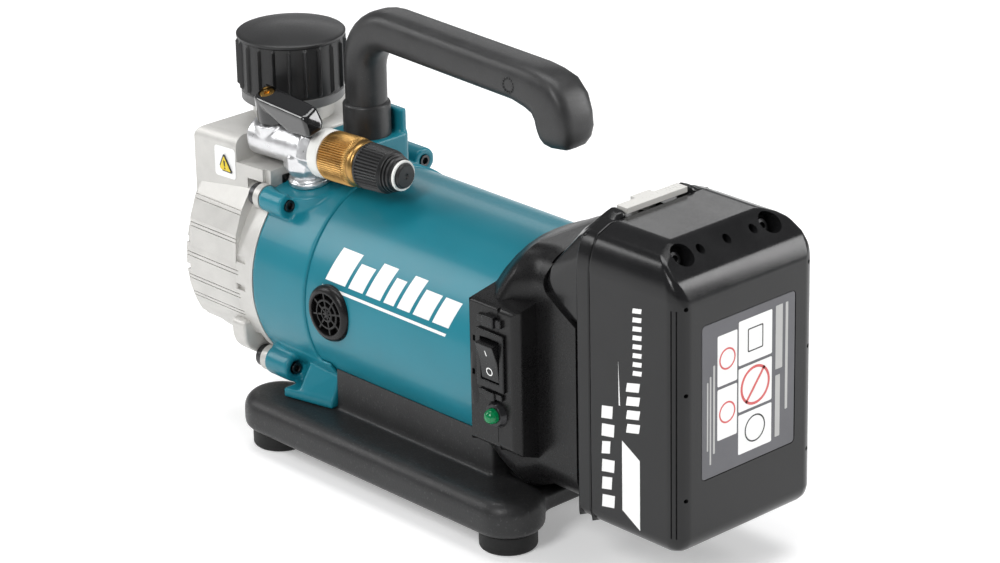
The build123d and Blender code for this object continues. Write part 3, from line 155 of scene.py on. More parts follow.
LOOKS = {     # by material slot
    "base_plastic": dict(colour=(0.019, 0.019, 0.0195), rough=0.42, specular=0.42, mottle=0.2, grain=1100,
        bump=0.5, bump_size=0.12, pits=0.5, pit_scale=1300, fleck=0.03),
    "foot_rubber": dict(colour=(0.012, 0.012, 0.012), rough=0.55, specular=0.3, grain=1500, bump=0.3,
        bump_size=0.08),
    "teal_paint": dict(colour=(0.0085, 0.185, 0.245), rough=0.34, spread=0.04, mottle=0.06, cloud=25,
        grain=700, bump=0.1, bump_size=0.04, coat=0.15, coat_rough=0.12, specular=0.35),
    "cast_aluminium": dict(colour=(0.58, 0.57, 0.545), rough=0.42, metallic=0.3, spread=0.08, mottle=0.07,
        cloud=90, grain=1800, bump=0.45, bump_size=0.1, pits=0.4, pit_scale=1600),
    "dark_screws": dict(colour=(0.07, 0.07, 0.072), rough=0.36, metallic=1.0, grain=1500, bump=0.2),
    "steel": dict(colour=(0.55, 0.55, 0.56), rough=0.3, metallic=1.0, grain=1400, bump=0.15),
    "magnet": dict(colour=(0.3, 0.3, 0.32), rough=0.3, metallic=1.0, grain=1400, bump=0.1),
    "copper": dict(colour=(0.72, 0.32, 0.14), rough=0.35, metallic=1.0, grain=900, bump=0.4, bump_size=0.2),
    "label_white": dict(colour=(0.88, 0.88, 0.87), rough=0.32, mottle=0.03, grain=500, bump=0.05),
    "label_grey": dict(colour=(0.105, 0.105, 0.115), rough=0.36, mottle=0.08, grain=500, bump=0.05),
    "vane_carbon": dict(colour=(0.05, 0.05, 0.052), rough=0.5, grain=900),
    "fan_plastic": dict(colour=(0.1, 0.1, 0.105), rough=0.5, grain=900),
    "housing_plastic": dict(colour=(0.0065, 0.0063, 0.0066), rough=0.3, specular=0.32, mottle=0.15,
        grain=2200, bump=0.25, bump_size=0.05, pits=0.3, pit_scale=2600),
    "board_green": dict(colour=(0.03, 0.2, 0.08), rough=0.4, grain=400, bump=0.2),
    "terminal": dict(colour=(0.6, 0.45, 0.12), rough=0.4, grain=900),
    "switch_plastic": dict(colour=(0.006, 0.006, 0.0065), rough=0.25, specular=0.35, grain=1800, bump=0.15),
    "bezel": dict(colour=(0.03, 0.03, 0.032), rough=0.22, metallic=0.6, grain=1500, bump=0.1),
    "led_green": dict(colour=(0.0, 0.2, 0.065), rough=0.12, mottle=0.3, cloud=500, grain=800, bump=0.05,
        transmission=0.25, emission=0.15),
    "sight_glass": dict(colour=(0.8, 0.76, 0.6), rough=0.08, grain=600, bump=0.03, transmission=0.7),
    "glass_ring": dict(colour=(0.6, 0.6, 0.6), rough=0.28, metallic=1.0, grain=1500, bump=0.15),
    "grip_rubber": dict(colour=(0.026, 0.026, 0.0265), rough=0.4, specular=0.5, spread=0.07, mottle=0.2,
        cloud=120, grain=2000, bump=0.4, bump_size=0.07, pits=0.4, pit_scale=2300,
        fleck=0.02),
    "valve_chrome": dict(colour=(0.7, 0.7, 0.71), rough=0.33, metallic=0.9, spread=0.06, mottle=0.08,
        cloud=200, grain=350, bump=0.5, bump_size=0.25),
    "nylon": dict(colour=(0.8, 0.8, 0.77), rough=0.35, mottle=0.05, grain=900, bump=0.1),
    "brass": dict(colour=(0.42, 0.25, 0.085), rough=0.34, metallic=1.0, mottle=0.25, cloud=250, grain=1500,
        bump=0.25, bump_size=0.06),
    "lever_gloss": dict(colour=(0.006, 0.006, 0.0065), rough=0.16, grain=700, bump=0.05, coat=0.8,
        coat_rough=0.05),
    "cap_black": dict(colour=(0.016, 0.016, 0.0165), rough=0.4, mottle=0.15, grain=1900, bump=0.3,
        bump_size=0.06),
    "cap_seal": dict(colour=(0.16, 0.16, 0.16), rough=0.5, grain=1200, bump=0.2),
    "battery_black": dict(colour=(0.0085, 0.0085, 0.009), rough=0.2, specular=0.4, mottle=0.15, grain=2400,
        bump=0.1, bump_size=0.04),
    # button_pale: the release button's pale grey colour is a painted reflection, standing for light glancing
    # off the glossy top of a black button
    "button_pale": dict(colour=(0.6, 0.59, 0.56), rough=0.3, mottle=0.04, grain=900, bump=0.1),
}
FINISH = {name: surface(name, **look) for name, look in LOOKS.items()}


def printed(name, colour, mottle, rough=0.35):
    """Thin printed paint."""
    return surface(name, colour, rough, mottle=mottle, grain=700, bump=0.05)


GOLD = surface("polished_gold_ring", (0.8, 0.46, 0.12), 0.18, metallic=1.0, grain=1500, bump=0.1)
DECAL = printed("decal_white", (0.86, 0.86, 0.85), 0.03)
DECAL_GREY = printed("decal_grey", (0.45, 0.45, 0.44), 0.04)
DECAL_RED = printed("decal_red", (0.62, 0.1, 0.1), 0.05)
DECAL_YELLOW = printed("decal_yellow", (0.75, 0.56, 0.01), 0.05)
DEEP_SCREW = surface("deep_screw", (0.02, 0.02, 0.021), 0.4, metallic=0.5, grain=1400, bump=0.2)
INK = printed("ink_black", (0.012, 0.012, 0.012), 0.1, 0.4)


# ---- mesh tools

def mesh_object(name, verts, faces):
    """A mesh object from millimetre vertices."""
    mesh = bpy.data.meshes.new(name)
    mesh.from_pydata([(v[0] * MM, v[1] * MM, v[2] * MM) for v in verts], [], faces)
    mesh.validate()
    obj = bpy.data.objects.new(name, mesh)
    bpy.context.scene.collection.objects.link(obj)
    return obj


def edit(obj, change):
    """Runs change(bmesh) on an object's mesh and makes its normals consistent."""
    bm = bmesh.new()
    bm.from_mesh(obj.data)
    change(bm)
    bmesh.ops.recalc_face_normals(bm, faces=bm.faces)
    bm.to_mesh(obj.data)
    bm.free()


def bake(obj):
    """Applies the object's modifiers to its mesh."""
    graph = bpy.context.evaluated_depsgraph_get()
    graph.update()
    mesh = bpy.data.meshes.new_from_object(obj.evaluated_get(graph))
    obj.modifiers.clear()
    old = obj.data
    obj.data = mesh
    bpy.data.meshes.remove(old)
    return obj


def boolean(obj, cutter, operation="DIFFERENCE"):
    step = obj.modifiers.new("boolean", "BOOLEAN")
    step.object = cutter
    step.operation = operation
    step.solver = "EXACT"
    bake(obj)
    bpy.data.objects.remove(cutter)
    return obj


def soften(obj, width, segments=2, angle=30.0):
    """Rounds the edges sharper than angle by width millimetres."""
    step = obj.modifiers.new("bevel", "BEVEL")
    step.width = width * MM
    step.segments = segments
    step.limit_method = "ANGLE"
    step.angle_limit = radians(angle)
    step.use_clamp_overlap = True
    return bake(obj)


def tidy(obj, dissolve=0.5):
    """Joins split vertices and flat neighbours, so that a CAD mesh can be bevelled."""
    def change(bm):
        bmesh.ops.remove_doubles(bm, verts=bm.verts, dist=0.002 * MM)
        bmesh.ops.dissolve_limit(bm, angle_limit=radians(dissolve), use_dissolve_boundaries=False,
                                 verts=bm.verts, edges=bm.edges)
    edit(obj, change)
    return obj


def copy_node(node, name):
    """A new object with the CAD node's shape, ready to be worked on."""
    obj = bpy.data.objects.new(name, frame["nodes"][node].data.copy())
    obj.data.materials.clear()
    bpy.context.scene.collection.objects.link(obj)
    return tidy(obj)


def shade(obj, angle=35.0):
    obj.data.shade_smooth()
    obj.data.set_sharp_from_angle(angle=radians(angle))
    return obj


def dress(obj, node, material=None, replaces=(), angle=35.0, weighted=True):
    """Gives a piece its finish, its body and its slot, and lets it stand for CAD nodes."""
    shade(obj, angle)
    if not obj.data.materials:
        obj.data.materials.append(material or FINISH[NODE_SLOT[node]])
    if weighted:
        obj.modifiers.new("weighted", "WEIGHTED_NORMAL").keep_sharp = True
    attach(obj, NODE_BODY[node])
    if replaces:
        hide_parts(*replaces)
    return obj


def stand_in(obj, node, **look):
    """Dresses a piece that takes the place of a CAD node."""
    return dress(obj, node, replaces=(node,), **look)


def loft(name, rings):
    """Skin through closed rings of the same number of points."""
    count = len(rings[0])
    verts = [p for ring in rings for p in ring]
    faces = []
    for r in range(len(rings) - 1):
        for i in range(count):
            j = (i + 1) % count
            faces.append((r * count + i, r * count + j, (r + 1) * count + j, (r + 1) * count + i))
    last = (len(rings) - 1) * count
    faces.append(tuple(range(count))[::-1])
    faces.append(tuple(range(last, last + count)))
    obj = mesh_object(name, verts, faces)
    edit(obj, lambda bm: None)
    return obj


def turned(name, profile, place, segments=72, wobble=None):
    """A lathe shape. profile is (along, radius) pairs, place takes the local Z axis to its axis.
    wobble(angle, along, radius) may change the radius, for knurls and ribs."""
    rings = []
    for along, radius in profile:
        ring = []
        for i in range(segments):
            a = 2 * pi * i / segments
            r = wobble(a, along, radius) if wobble else radius
            ring.append(place @ Vector((r * cos(a), r * sin(a), along)))
        rings.append(ring)
    return loft(name, rings)


def prism(name, outline, place, depth):
    """A closed outline in the place's XY plane, extruded along its Z axis."""
    bottom = [place @ Vector((u, v, 0)) for u, v in outline]
    top = [place @ Vector((u, v, depth)) for u, v in outline]
    return loft(name, [bottom, top])


def frame_at(origin, z_axis, x_axis):
    """Matrix with the given origin, Z axis and rough X axis."""
    z = Vector(z_axis).normalized()
    x = Vector(x_axis)
    x = (x - z * x.dot(z)).normalized()
    y = z.cross(x)
    m = Matrix((x, y, z)).transposed().to_4x4()
    m.translation = Vector(origin)
    return m


def rounded_rect(width, height, radius, steps=6, centre=(0.0, 0.0)):
    points = []
    for sx, sy, start in ((1, 1, 0), (-1, 1, 90), (-1, -1, 180), (1, -1, 270)):
        cx, cy = centre[0] + sx * (width / 2 - radius), centre[1] + sy * (height / 2 - radius)
        for i in range(steps + 1):
            a = radians(start + 90 * i / steps)
            points.append((cx + radius * cos(a), cy + radius * sin(a)))
    return points


def smoothstep(x, a, b):
    t = min(1.0, max(0.0, (x - a) / (b - a)))
    return t * t * (3 - 2 * t)


def rounded_polygon(corners, steps=6):
    """Outline through (u, v, radius) corners, each rounded by its radius."""
    points = []
    count = len(corners)
    for i, (u, v, radius) in enumerate(corners):
        here = Vector((u, v))
        if radius <= 0:
            points.append((u, v))
            continue
        before = (Vector(corners[i - 1][:2]) - here).normalized()
        after = (Vector(corners[(i + 1) % count][:2]) - here).normalized()
        half = math.acos(max(-1, min(1, before.dot(after)))) / 2
        centre = here + (before + after).normalized() * (radius / sin(half))
        start = here + before * (radius / math.tan(half)) - centre
        sweep = pi - 2 * half
        side = 1 if before.x * after.y - before.y * after.x < 0 else -1
        for k in range(steps + 1):
            a = side * sweep * k / steps
            points.append((centre.x + start.x * cos(a) - start.y * sin(a),
                           centre.y + start.x * sin(a) + start.y * cos(a)))
    return points


# outlines lie along u and v: +Y, +Z with depth +X, and +X, +Z with depth -Y
PLANE_YZ = Matrix(((0, 0, 1, 0), (1, 0, 0, 0), (0, 1, 0, 0), (0, 0, 0, 1)))
PLANE_XZ = Matrix(((1, 0, 0, 0), (0, 0, -1, 0), (0, 1, 0, 0), (0, 0, 0, 1)))


def shape_xy(name, outline, z0, z1):
    return prism(name, outline, Matrix.Translation((0, 0, z0)), z1 - z0)


def shape_yz(name, outline, x0, x1):
    return prism(name, outline, Matrix.Translation((x0, 0, 0)) @ PLANE_YZ, x1 - x0)


def shape_xz(name, outline, y0, y1):
    return prism(name, outline, Matrix.Translation((0, y1, 0)) @ PLANE_XZ, y1 - y0)


def rod(name, start, axis, radius, length, segments=32):
    """Cutter or boss: a round bar from start along axis."""
    other = (0, 0, 1) if abs(axis[2]) < 0.9 else (1, 0, 0)
    return turned(name, [(0, radius), (length, radius)], frame_at(start, axis, other), segments)


def block(name, low, high):
    return shape_xy(name, [(low[0], low[1]), (high[0], low[1]), (high[0], high[1]), (low[0], high[1])],
                    low[2], high[2])


def groove(name, rings, x0, x1):
    """A band cutter round the X axis: everything outside the inner outline, between two planes."""
    band = shape_yz(name, [(-90, -20), (90, -20), (90, 200), (-90, 200)], x0, x1)
    return boolean(band, shape_yz(name + "_core", rings, x0 - 1, x1 + 1))


def rounded_hull(name, points, radius, segments=6):
    """Convex solid round the points. radius(a, b) rounds the edge between two corners, in millimetres."""
    bm = bmesh.new()
    for p in points:
        bm.verts.new(Vector(p) * MM)
    bmesh.ops.convex_hull(bm, input=bm.verts)
    bmesh.ops.dissolve_limit(bm, angle_limit=radians(1.0), verts=bm.verts, edges=bm.edges)
    bmesh.ops.recalc_face_normals(bm, faces=bm.faces)
    layer = bm.edges.layers.float.new("bevel_weight_edge")
    widths = {e: radius(e.verts[0].co / MM, e.verts[1].co / MM) for e in bm.edges}
    widest = max(widths.values())
    for e, width in widths.items():
        e[layer] = width / widest if widest else 0.0
    mesh = bpy.data.meshes.new(name)
    bm.to_mesh(mesh)
    bm.free()
    obj = bpy.data.objects.new(name, mesh)
    bpy.context.scene.collection.objects.link(obj)
    step = obj.modifiers.new("bevel", "BEVEL")
    step.width = max(widest, 0.001) * MM
    step.segments = segments
    step.limit_method = "WEIGHT"
    step.use_clamp_overlap = False
    return bake(obj)


def no_rounding(a, b):
    return 0.0


def cast(obj, voxel, rounds, factor=0.5):
    """Remeshes a piece finely and eases it, so that every edge and inner corner is rounded like a casting."""
    step = obj.modifiers.new("remesh", "REMESH")
    step.mode = "VOXEL"
    step.voxel_size = voxel * MM
    bake(obj)
    step = obj.modifiers.new("smooth", "SMOOTH")
    step.factor = factor
    step.iterations = rounds
    return bake(obj)


def both_sides(points):
    return list(points) + [(x, -y, z) for x, y, z in points]


# ---- camera, lights and floor

camera = bpy.data.objects.new("camera", bpy.data.cameras.new("camera"))
bpy.context.scene.collection.objects.link(camera)
bpy.context.scene.camera = camera
VIEW_A, ROLL = radians(46.87), radians(-0.99)
back = Vector((0.6758, -0.6330, 0.3776)).normalized()
flat_right = Vector((cos(VIEW_A), sin(VIEW_A), 0))
flat_up = back.cross(flat_right)
right = flat_right * cos(ROLL) + flat_up * sin(ROLL)
up = flat_up * cos(ROLL) - flat_right * sin(ROLL)
pose = Matrix((right, up, back)).transposed().to_4x4()
pose.translation = Vector((1.0129, -0.9306, 0.6451))
camera.matrix_world = pose
camera.data.sensor_width = 36
camera.data.lens = 133.27
camera.data.shift_x = -0.02355
camera.data.shift_y = -0.0017
camera.data.clip_start = 0.05
camera.data.clip_end = 20


def softbox(name, place, target, size, power, colour=(1, 1, 1)):
    data = bpy.data.lights.new(name, "AREA")
    data.shape = "RECTANGLE"
    data.size, data.size_y = size
    data.energy = power
    data.color = colour
    light = bpy.data.objects.new(name, data)
    light.location = place
    light.rotation_euler = (Vector(target) - Vector(place)).to_track_quat("-Z", "Y").to_euler()
    bpy.context.scene.collection.objects.link(light)
    return light


softbox("key", (0.35, -1.15, 1.05), (0, 0, 0.08), (0.45, 0.75), 10.5)
softbox("top", (-0.1, 0.15, 1.35), (0, 0, 0.08), (1.3, 0.45), 10)
softbox("far", (0.8, 0.9, 0.55), (0.1, 0, 0.1), (0.35, 0.9), 9)
softbox("back", (-1.15, 1.1, 0.75), (0, 0, 0.1), (0.8, 0.35), 1.4)
softbox("left", (-1.1, -0.75, 0.8), (0, 0, 0.08), (0.4, 0.8), 6)

world = bpy.data.worlds.new("world")
bpy.context.scene.world = world
world.use_nodes = True
put(world.node_tree.nodes["Background"], {"Color": (0.97, 0.98, 1.0, 1), "Strength": 0.22})
bpy.context.scene.view_settings.view_transform = "Standard"

FLOOR = 6000.0
floor = mesh_object("floor", [(-FLOOR, -FLOOR, 0), (FLOOR, -FLOOR, 0), (FLOOR, FLOOR, 0), (-FLOOR, FLOOR, 0)],
                    [(0, 1, 2, 3)])
floor.data.materials.append(surface("floor_white", (0.93, 0.93, 0.93), 0.6, mottle=0.01, cloud=3, grain=300,
                                    bump=0.02, specular=0.1, emission=0.3))


# ---- battery pack

# X of the adapter's end, of the rail case's edge, of the seam between the two cases and of the labelled face
X_SEAT, X_LIP, X_SEAM, X_FACE = 87.5, 87.8, 94.9, 142.2
BATTERY_HALF, BATTERY_Z0 = 37.5, 21.4
# the top from the side inwards: side edge, slope edge, then the flat plateau as far as PLATEAU_X
SHOULDER_Z, SLOPE_Y, SLOPE_Z = 128.8, 34.4, 138.2
PLATEAU_Y, PLATEAU_Z, PLATEAU_X = 24.2, 142.3, 125.2
CHAMFER = (PLATEAU_Z - SHOULDER_Z) / (X_FACE - PLATEAU_X)
CORNER_R = 6.8
# the two slanting screw wells in the chamfer
WELL_X, WELL_Y, WELL_Z, WELL_AXIS = 124.8, 23.5, 134.8, (0.85, 0, 0.53)
SCREW_PROFILE = [(0, 0.4), (0, 3.0), (1.4, 3.0), (2.0, 2.5), (2.0, 1.3), (0.9, 1.2), (0.9, 0.2)]


def pack_radius(a, b):
    """Rounding of each edge of the pack."""
    middle, along = (a + b) / 2, b - a
    if max(a.x, b.x) < X_SEAM + 0.1:
        return 0.9
    if middle.z < BATTERY_Z0 + 0.1:
        return 8.0 if abs(along.x) < 1 else 7.0
    if middle.x > X_FACE - 0.1:
        return CORNER_R if abs(along.y) < 1 else 6.5
    if abs(along.y) < 0.1 and abs(along.z) < 0.1:
        return {SHOULDER_Z: 4.0, SLOPE_Z: 4.2}.get(round(middle.z, 1), 2.0)
    return 2.4


case = rounded_hull("battery_case_look", both_sides([
    (X_SEAM, BATTERY_HALF, BATTERY_Z0), (X_SEAM, BATTERY_HALF, SHOULDER_Z), (X_SEAM, SLOPE_Y, SLOPE_Z),
    (X_SEAM, PLATEAU_Y, PLATEAU_Z), (X_FACE, BATTERY_HALF, BATTERY_Z0), (X_FACE, BATTERY_HALF, SHOULDER_Z),
    (PLATEAU_X + (PLATEAU_Z - SLOPE_Z) / CHAMFER, SLOPE_Y, SLOPE_Z), (PLATEAU_X, PLATEAU_Y, PLATEAU_Z),
]), pack_radius, 7)
for x in (137.4, 139.2):
    depth = CORNER_R - math.sqrt(CORNER_R ** 2 - (x - X_FACE + CORNER_R) ** 2) + 0.5
    inner = [(BATTERY_HALF - depth, 10), (BATTERY_HALF - depth, 150), (-BATTERY_HALF + depth, 150),
             (-BATTERY_HALF + depth, 10)]
    line = groove("corner_line", inner, x, x + 0.5)
    boolean(line, block("line_band", (x - 1, -60, BATTERY_Z0 + 8), (x + 1, 60, 122)), "INTERSECT")
    boolean(case, line)
for y in (-WELL_Y, WELL_Y):
    boolean(case, rod("screw_well", (WELL_X, y, WELL_Z), WELL_AXIS, 4.9, 20))
for y in (-14.2, 0.0, 14.2):
    boolean(case, rod("vent_hole", (127.5, y, 137.4), (1, 0, 0.25), 1.8, 20))
for y in (-33.2, 33.2):
    for z in (45.0, 88.0, 122.5):
        boolean(case, rod("edge_hole", (X_FACE - 4, y, z), (1, 0, 0), 0.85, 8))
low_label, high_label = node_box("battery_label")
LABEL_X, LABEL_Y, LABEL_Z0, LABEL_Z1 = high_label.x, high_label.y, low_label.z, high_label.z
label_well = rounded_rect(2 * LABEL_Y + 0.8, LABEL_Z1 - LABEL_Z0 + 0.8, 2.2,
                          centre=(0, (LABEL_Z0 + LABEL_Z1) / 2))
boolean(case, shape_yz("label_well", label_well, X_FACE - 0.45, X_FACE + 3))
for side in (-1, 1):
    boolean(case, rod("shoulder_line", (X_SEAM - 1, side * 37.1, 131.6), (1, 0, 0), 0.5,
                      PLATEAU_X - X_SEAM + 3, 12))
soften(case, 0.3, 2, 50)
stand_in(case, "battery_case", angle=45)

for i, y in enumerate((-WELL_Y, WELL_Y)):
    head = turned(f"battery_screw_{i}", SCREW_PROFILE, frame_at((WELL_X, y, WELL_Z), WELL_AXIS, (0, 1, 0)))
    stand_in(head, "battery_screws", material=DEEP_SCREW)


def rail_radius(a, b):
    """Rounding of each edge of the rail-side case."""
    middle, along = (a + b) / 2, b - a
    if abs(along.x) < 1:
        return 0.9
    if middle.z < BATTERY_Z0 + 0.5:
        return 7.0
    return {round(SHOULDER_Z, 0): 4.0, round(SLOPE_Z, 0): 4.2}.get(round(middle.z, 0), 2.0)


rail = rounded_hull("battery_rail_look", both_sides([
    (x, y - 0.15, z) for x in (X_LIP, X_SEAM - 0.05)
    for y, z in ((BATTERY_HALF, BATTERY_Z0 + 0.15), (BATTERY_HALF, SHOULDER_Z), (SLOPE_Y, SLOPE_Z),
                 (PLATEAU_Y, PLATEAU_Z - 0.15))]), rail_radius)
shoulder = rounded_hull("battery_shoulder", both_sides([
    (69.8, 35.4, 108.0), (69.4, 35.4, 114.0), (71.6, 34.6, 120.5), (72.6, 23.0, 125.0), (77.5, 33.4, 127.6),
    (80.5, 24.5, 136.2), (84.5, 32.4, 135.8), (X_LIP + 2, 36.4, 129.4), (X_LIP + 2, 33.4, 139.0),
    (X_LIP + 2, 23.4, 142.6), (X_LIP + 2, 36.0, 101.0), (77.0, 35.6, 103.0)]), no_rounding, 1)
cast(shoulder, 0.55, 14)
boolean(shoulder, block("latch_way", (60, -5.4, 95), (93.4, 5.4, 150)))
boolean(shoulder, block("button_way", (84.0, -16.7, 140.6), (96.0, 16.7, 150)))
dress(shoulder, "battery_rail_case", angle=50, weighted=False)
hub_low, _ = node_box("battery_rail_case")
hub = block("hub", (hub_low.x + 1.3, -32.5, 31.5), (X_LIP + 1, 32.5, 104))
for side in (-1, 1):
    boolean(hub, block("rail_slot", (76.5, side * 37 - 8.3, 30), (80.1, side * 37 + 8.3, 93)))
for y in (-14, 0, 14):
    boolean(hub, block("terminal_slot", (69, y - 1.2, 30), (77, y + 1.2, 84)))
soften(hub, 0.5)
boolean(rail, hub, "UNION")
# x and z of the raised ridges beside the button
RIDGE = ((82.5, 136.0), (X_SEAM - 0.05, 137.0), (X_SEAM - 0.05, 144.3), (88.0, 144.8))
for side in (-1, 1):
    ridge = [(x, side * y, z) for x, z in RIDGE for y in (16.7, 19.6 if z > 140 else 30.5)]
    boolean(rail, rounded_hull("ridge", ridge, lambda a, b: 1.8), "UNION")
boolean(rail, block("button_slot", (84.0, -16.7, 140.6), (96.0, 16.7, 150)))
boolean(rail, block("latch_slot", (68, -5.4, 97.5), (93.4, 5.4, 150)))
soften(rail, 0.3, 2, 50)
stand_in(rail, "battery_rail_case", angle=45)

# The release button takes the button_pale finish, whose pale colour is a painted reflection of light on its
# glossy top
button = copy_node("release_button", "release_button_look")
soften(button, 0.5, 3)
stand_in(button, "release_button")

# ---- rear housing

X_RIM, X_PARTING, X_ADAPTER = 40.5, 56.5, 66.5
HOUSING_STEPS = [   # x, half width, bottom, top, corner radius
    (X_RIM, 48.6, 20.3, 118.0, 46.0), (41.2, 49.1, 19.9, 118.6, 46.0), (42.2, 49.2, 19.9, 119.1, 45.5),
    (45.0, 48.6, 20.1, 119.9, 42.0), (48.0, 47.2, 20.4, 121.1, 35.0), (51.0, 45.2, 20.7, 122.3, 28.0),
    (54.0, 42.8, 21.0, 123.3, 21.0), (X_PARTING, 40.7, 21.3, 124.0, 16.0), (59.0, 39.2, 22.0, 124.2, 15.0),
    (62.0, 38.1, 23.2, 124.4, 14.5), (64.5, 37.6, 24.5, 124.5, 14.0), (X_ADAPTER, 37.5, 25.3, 124.5, 13.5),
]


def housing_ring(x, half, bottom, top, radius, inset=0.0):
    outline = rounded_rect(2 * (half - inset), top - bottom - 2 * inset, max(1.0, radius - inset), 10,
                           (0, (top + bottom) / 2))
    return [(x, y, z) for y, z in outline]


def housing_shell(name, steps, wall=2.6):
    outer = loft(name, [housing_ring(*step) for step in steps])
    inner_steps = [(steps[0][0] - 0.5, *steps[0][1:])] + steps[1:-1] + [(steps[-1][0] + 0.5, *steps[-1][1:])]
    inner = loft(name + "_inner", [housing_ring(*step, inset=wall) for step in inner_steps])
    return boolean(outer, inner)


def switch_box(name, x0, x1, inset=0.0, corner=0.0):
    """The box that carries the switch: sloped top and bottom, its far corner rounded."""
    low, high, face = 44.0 + inset, 102.8 - inset, -48.5 + inset
    points = [(x, y, z) for x in (x0, x1)
              for y, z in ((face, low), (-30, low - 7), (-30, high + 3.5), (face, high))]

    def radius(a, b):
        if abs(a.x - b.x) > 1:
            return 2.2 if min(a.y, b.y) < -40 else 0.0
        return corner if min(a.x, b.x) > x1 - 0.1 and max(a.y, b.y) < -40 else 0.01

    return rounded_hull(name, points, radius, 5)


PARTS_AT = next(i for i, step in enumerate(HOUSING_STEPS) if step[0] == X_PARTING)
front_shell = housing_shell("rear_housing_front_look", HOUSING_STEPS[:PARTS_AT + 1])
boolean(front_shell, switch_box("front_box", X_RIM, X_PARTING), "UNION")
boolean(front_shell, switch_box("front_box_hollow", X_RIM + 2, X_PARTING + 1, 2.6))
boolean(front_shell, rod("tube_clearance", (X_RIM - 1, 0, AXIS_Z), (1, 0, 0), 46.65, 5.6, 96))
rear_shell = housing_shell("rear_housing_rear_look", HOUSING_STEPS[PARTS_AT:])
adapter = shape_yz("adapter", [(y, z) for _, y, z in housing_ring(*HOUSING_STEPS[-1])], X_ADAPTER, X_SEAT)
boolean(rear_shell, adapter, "UNION")
boolean(rear_shell, switch_box("rear_box", X_PARTING, X_ADAPTER, corner=3.6), "UNION")
boolean(rear_shell, switch_box("rear_box_hollow", X_PARTING - 1, X_ADAPTER - 2.6, 2.6))
boolean(rear_shell, block("rail_pocket", (70.5, -33, 31), (110, 33, 151)))
opening = rounded_polygon([(72.2, 150, 0), (72.2, 124.5, 0), (69.0, 112.0, 6.5), (79.0, 105.4, 9),
                           (88.5, 99.8, 0), (95, 99.8, 0), (95, 150, 0)], 8)
boolean(rear_shell, shape_xz("shoulder_opening", opening, -60, 60))
for side in (-1, 1):
    boolean(rear_shell, block("rail", (76.8, side * 31 - 2, 36), (79.8, side * 31 + 2, 92)), "UNION")
boolean(rear_shell, block("latch_notch", (68.0, -6, 98), (74.0, 6, 138)))
boolean(rear_shell, block("terminal_window", (64.5, -22, 60), (71.5, 22, 90)))

ROCKER_X, ROCKER_Z, LED_X, LED_Z, PANEL_Y = 52.7, 80.5, 55.3, 58.5, -48.5
for shell in (front_shell, rear_shell):
    boolean(shell, block("switch_hole", (ROCKER_X - 6.2, -52, ROCKER_Z - 9.9),
                         (ROCKER_X + 6.2, -42, ROCKER_Z + 9.9)))
    boolean(shell, rod("led_hole", (LED_X, -42, LED_Z), (0, -1, 0), 3.2, 10))
for z in (ROCKER_Z + 6.2, ROCKER_Z - 7.6):
    boolean(front_shell, block("side_slot", (42.1, -49.5, z - 1.2), (43.4, -47.6, z + 1.2)))
for shell, node in ((front_shell, "rear_housing_front"), (rear_shell, "rear_housing_rear")):
    soften(shell, 0.45, 2, 40)
    stand_in(shell, node, angle=40)

# ---- carry handle

# the grip: an upright post, a bend round (BEND_X, BEND_Z), a nearly level bar and a hooked end
POST_X, GRIP_Z = -72.5, 177.5
BEND_X, BEND_Z, BEND_R = -53.0, 158.0, 19.5


def super_ring(origin, direction, half_up, half_wide, power=3.1, count=48):
    """A rounded-square ring in the plane across a direction given as an angle above +X."""
    a = radians(direction)
    upward = Vector((-sin(a), 0, cos(a)))
    ring = []
    for i in range(count):
        t = 2 * pi * i / count
        u = math.copysign(abs(sin(t)) ** (2 / power), sin(t)) * half_up
        v = math.copysign(abs(cos(t)) ** (2 / power), cos(t)) * half_wide
        ring.append(Vector((origin[0], 0, origin[1])) + upward * u + Vector((0, -v, 0)))
    return ring


grip_rings = [super_ring((POST_X, z), 90, 8.6, 8.6, 2.05) for z in (139.0, 145.0, 151.5, BEND_Z)]
for k in range(1, 11):
    a = radians(180 - 9 * k)
    grip_rings.append(super_ring((BEND_X + BEND_R * cos(a), BEND_Z + BEND_R * sin(a)), 90 - 9 * k,
                                 8.6 - 0.01 * k, 8.6 + 0.02 * k, 2.05 + 0.105 * k))
for k in range(1, 10):
    t = k / 9
    grip_rings.append(super_ring((BEND_X + 75 * t, GRIP_Z - 2.05 * t), -1.5, 8.5 - 0.05 * t, 8.8 + 0.45 * t))
GRIP_NOSE = [   # x, z, direction, half height, half width
    (30, 174.5, -5, 9.2, 9.4), (35.5, 173.2, -13, 9.9, 9.5), (39.8, 171.0, -27, 10.6, 9.5),
    (42.6, 167.6, -46, 10.4, 9.4), (44.2, 163.2, -60, 9.8, 9.2), (45.2, 159.0, -70, 9.0, 8.8),
    (45.7, 155.8, -76, 7.6, 7.8), (45.9, 153.6, -82, 5.4, 6.0), (45.9, 152.6, -86, 2.8, 3.4)]
for x, z, direction, half_up, half_wide in GRIP_NOSE:
    grip_rings.append(super_ring((x, z), direction, half_up, half_wide, 3.1 + 1.5 * smoothstep(x, 35, 44)))
grip = loft("handle_grip_look", grip_rings)
collar = turned("collar", [(129, 8.6), (129, 9.9), (142.0, 9.9), (142.7, 9.6), (143.1, 9.0), (143.1, 8.3)],
                Matrix.Translation((POST_X, 0, 0)), 72)
boolean(grip, collar, "UNION")
stand_in(grip, "handle_grip", angle=50, weighted=False)
for k in range(14):
    a = 2 * pi * k / 14
    dot = turned(f"grip_mark_{k}", [(-0.2, 0.5), (0.25, 0.5), (0.4, 0.3), (0.45, 0.05)],
                 frame_at((22.3 + 2.9 * cos(a), -9.2, 174.6 + 2.9 * sin(a)), (0, -1, 0), (1, 0, 0)), 10)
    dress(dot, "handle_grip", angle=60, weighted=False)

# ---- oil cap

RIBS = 21


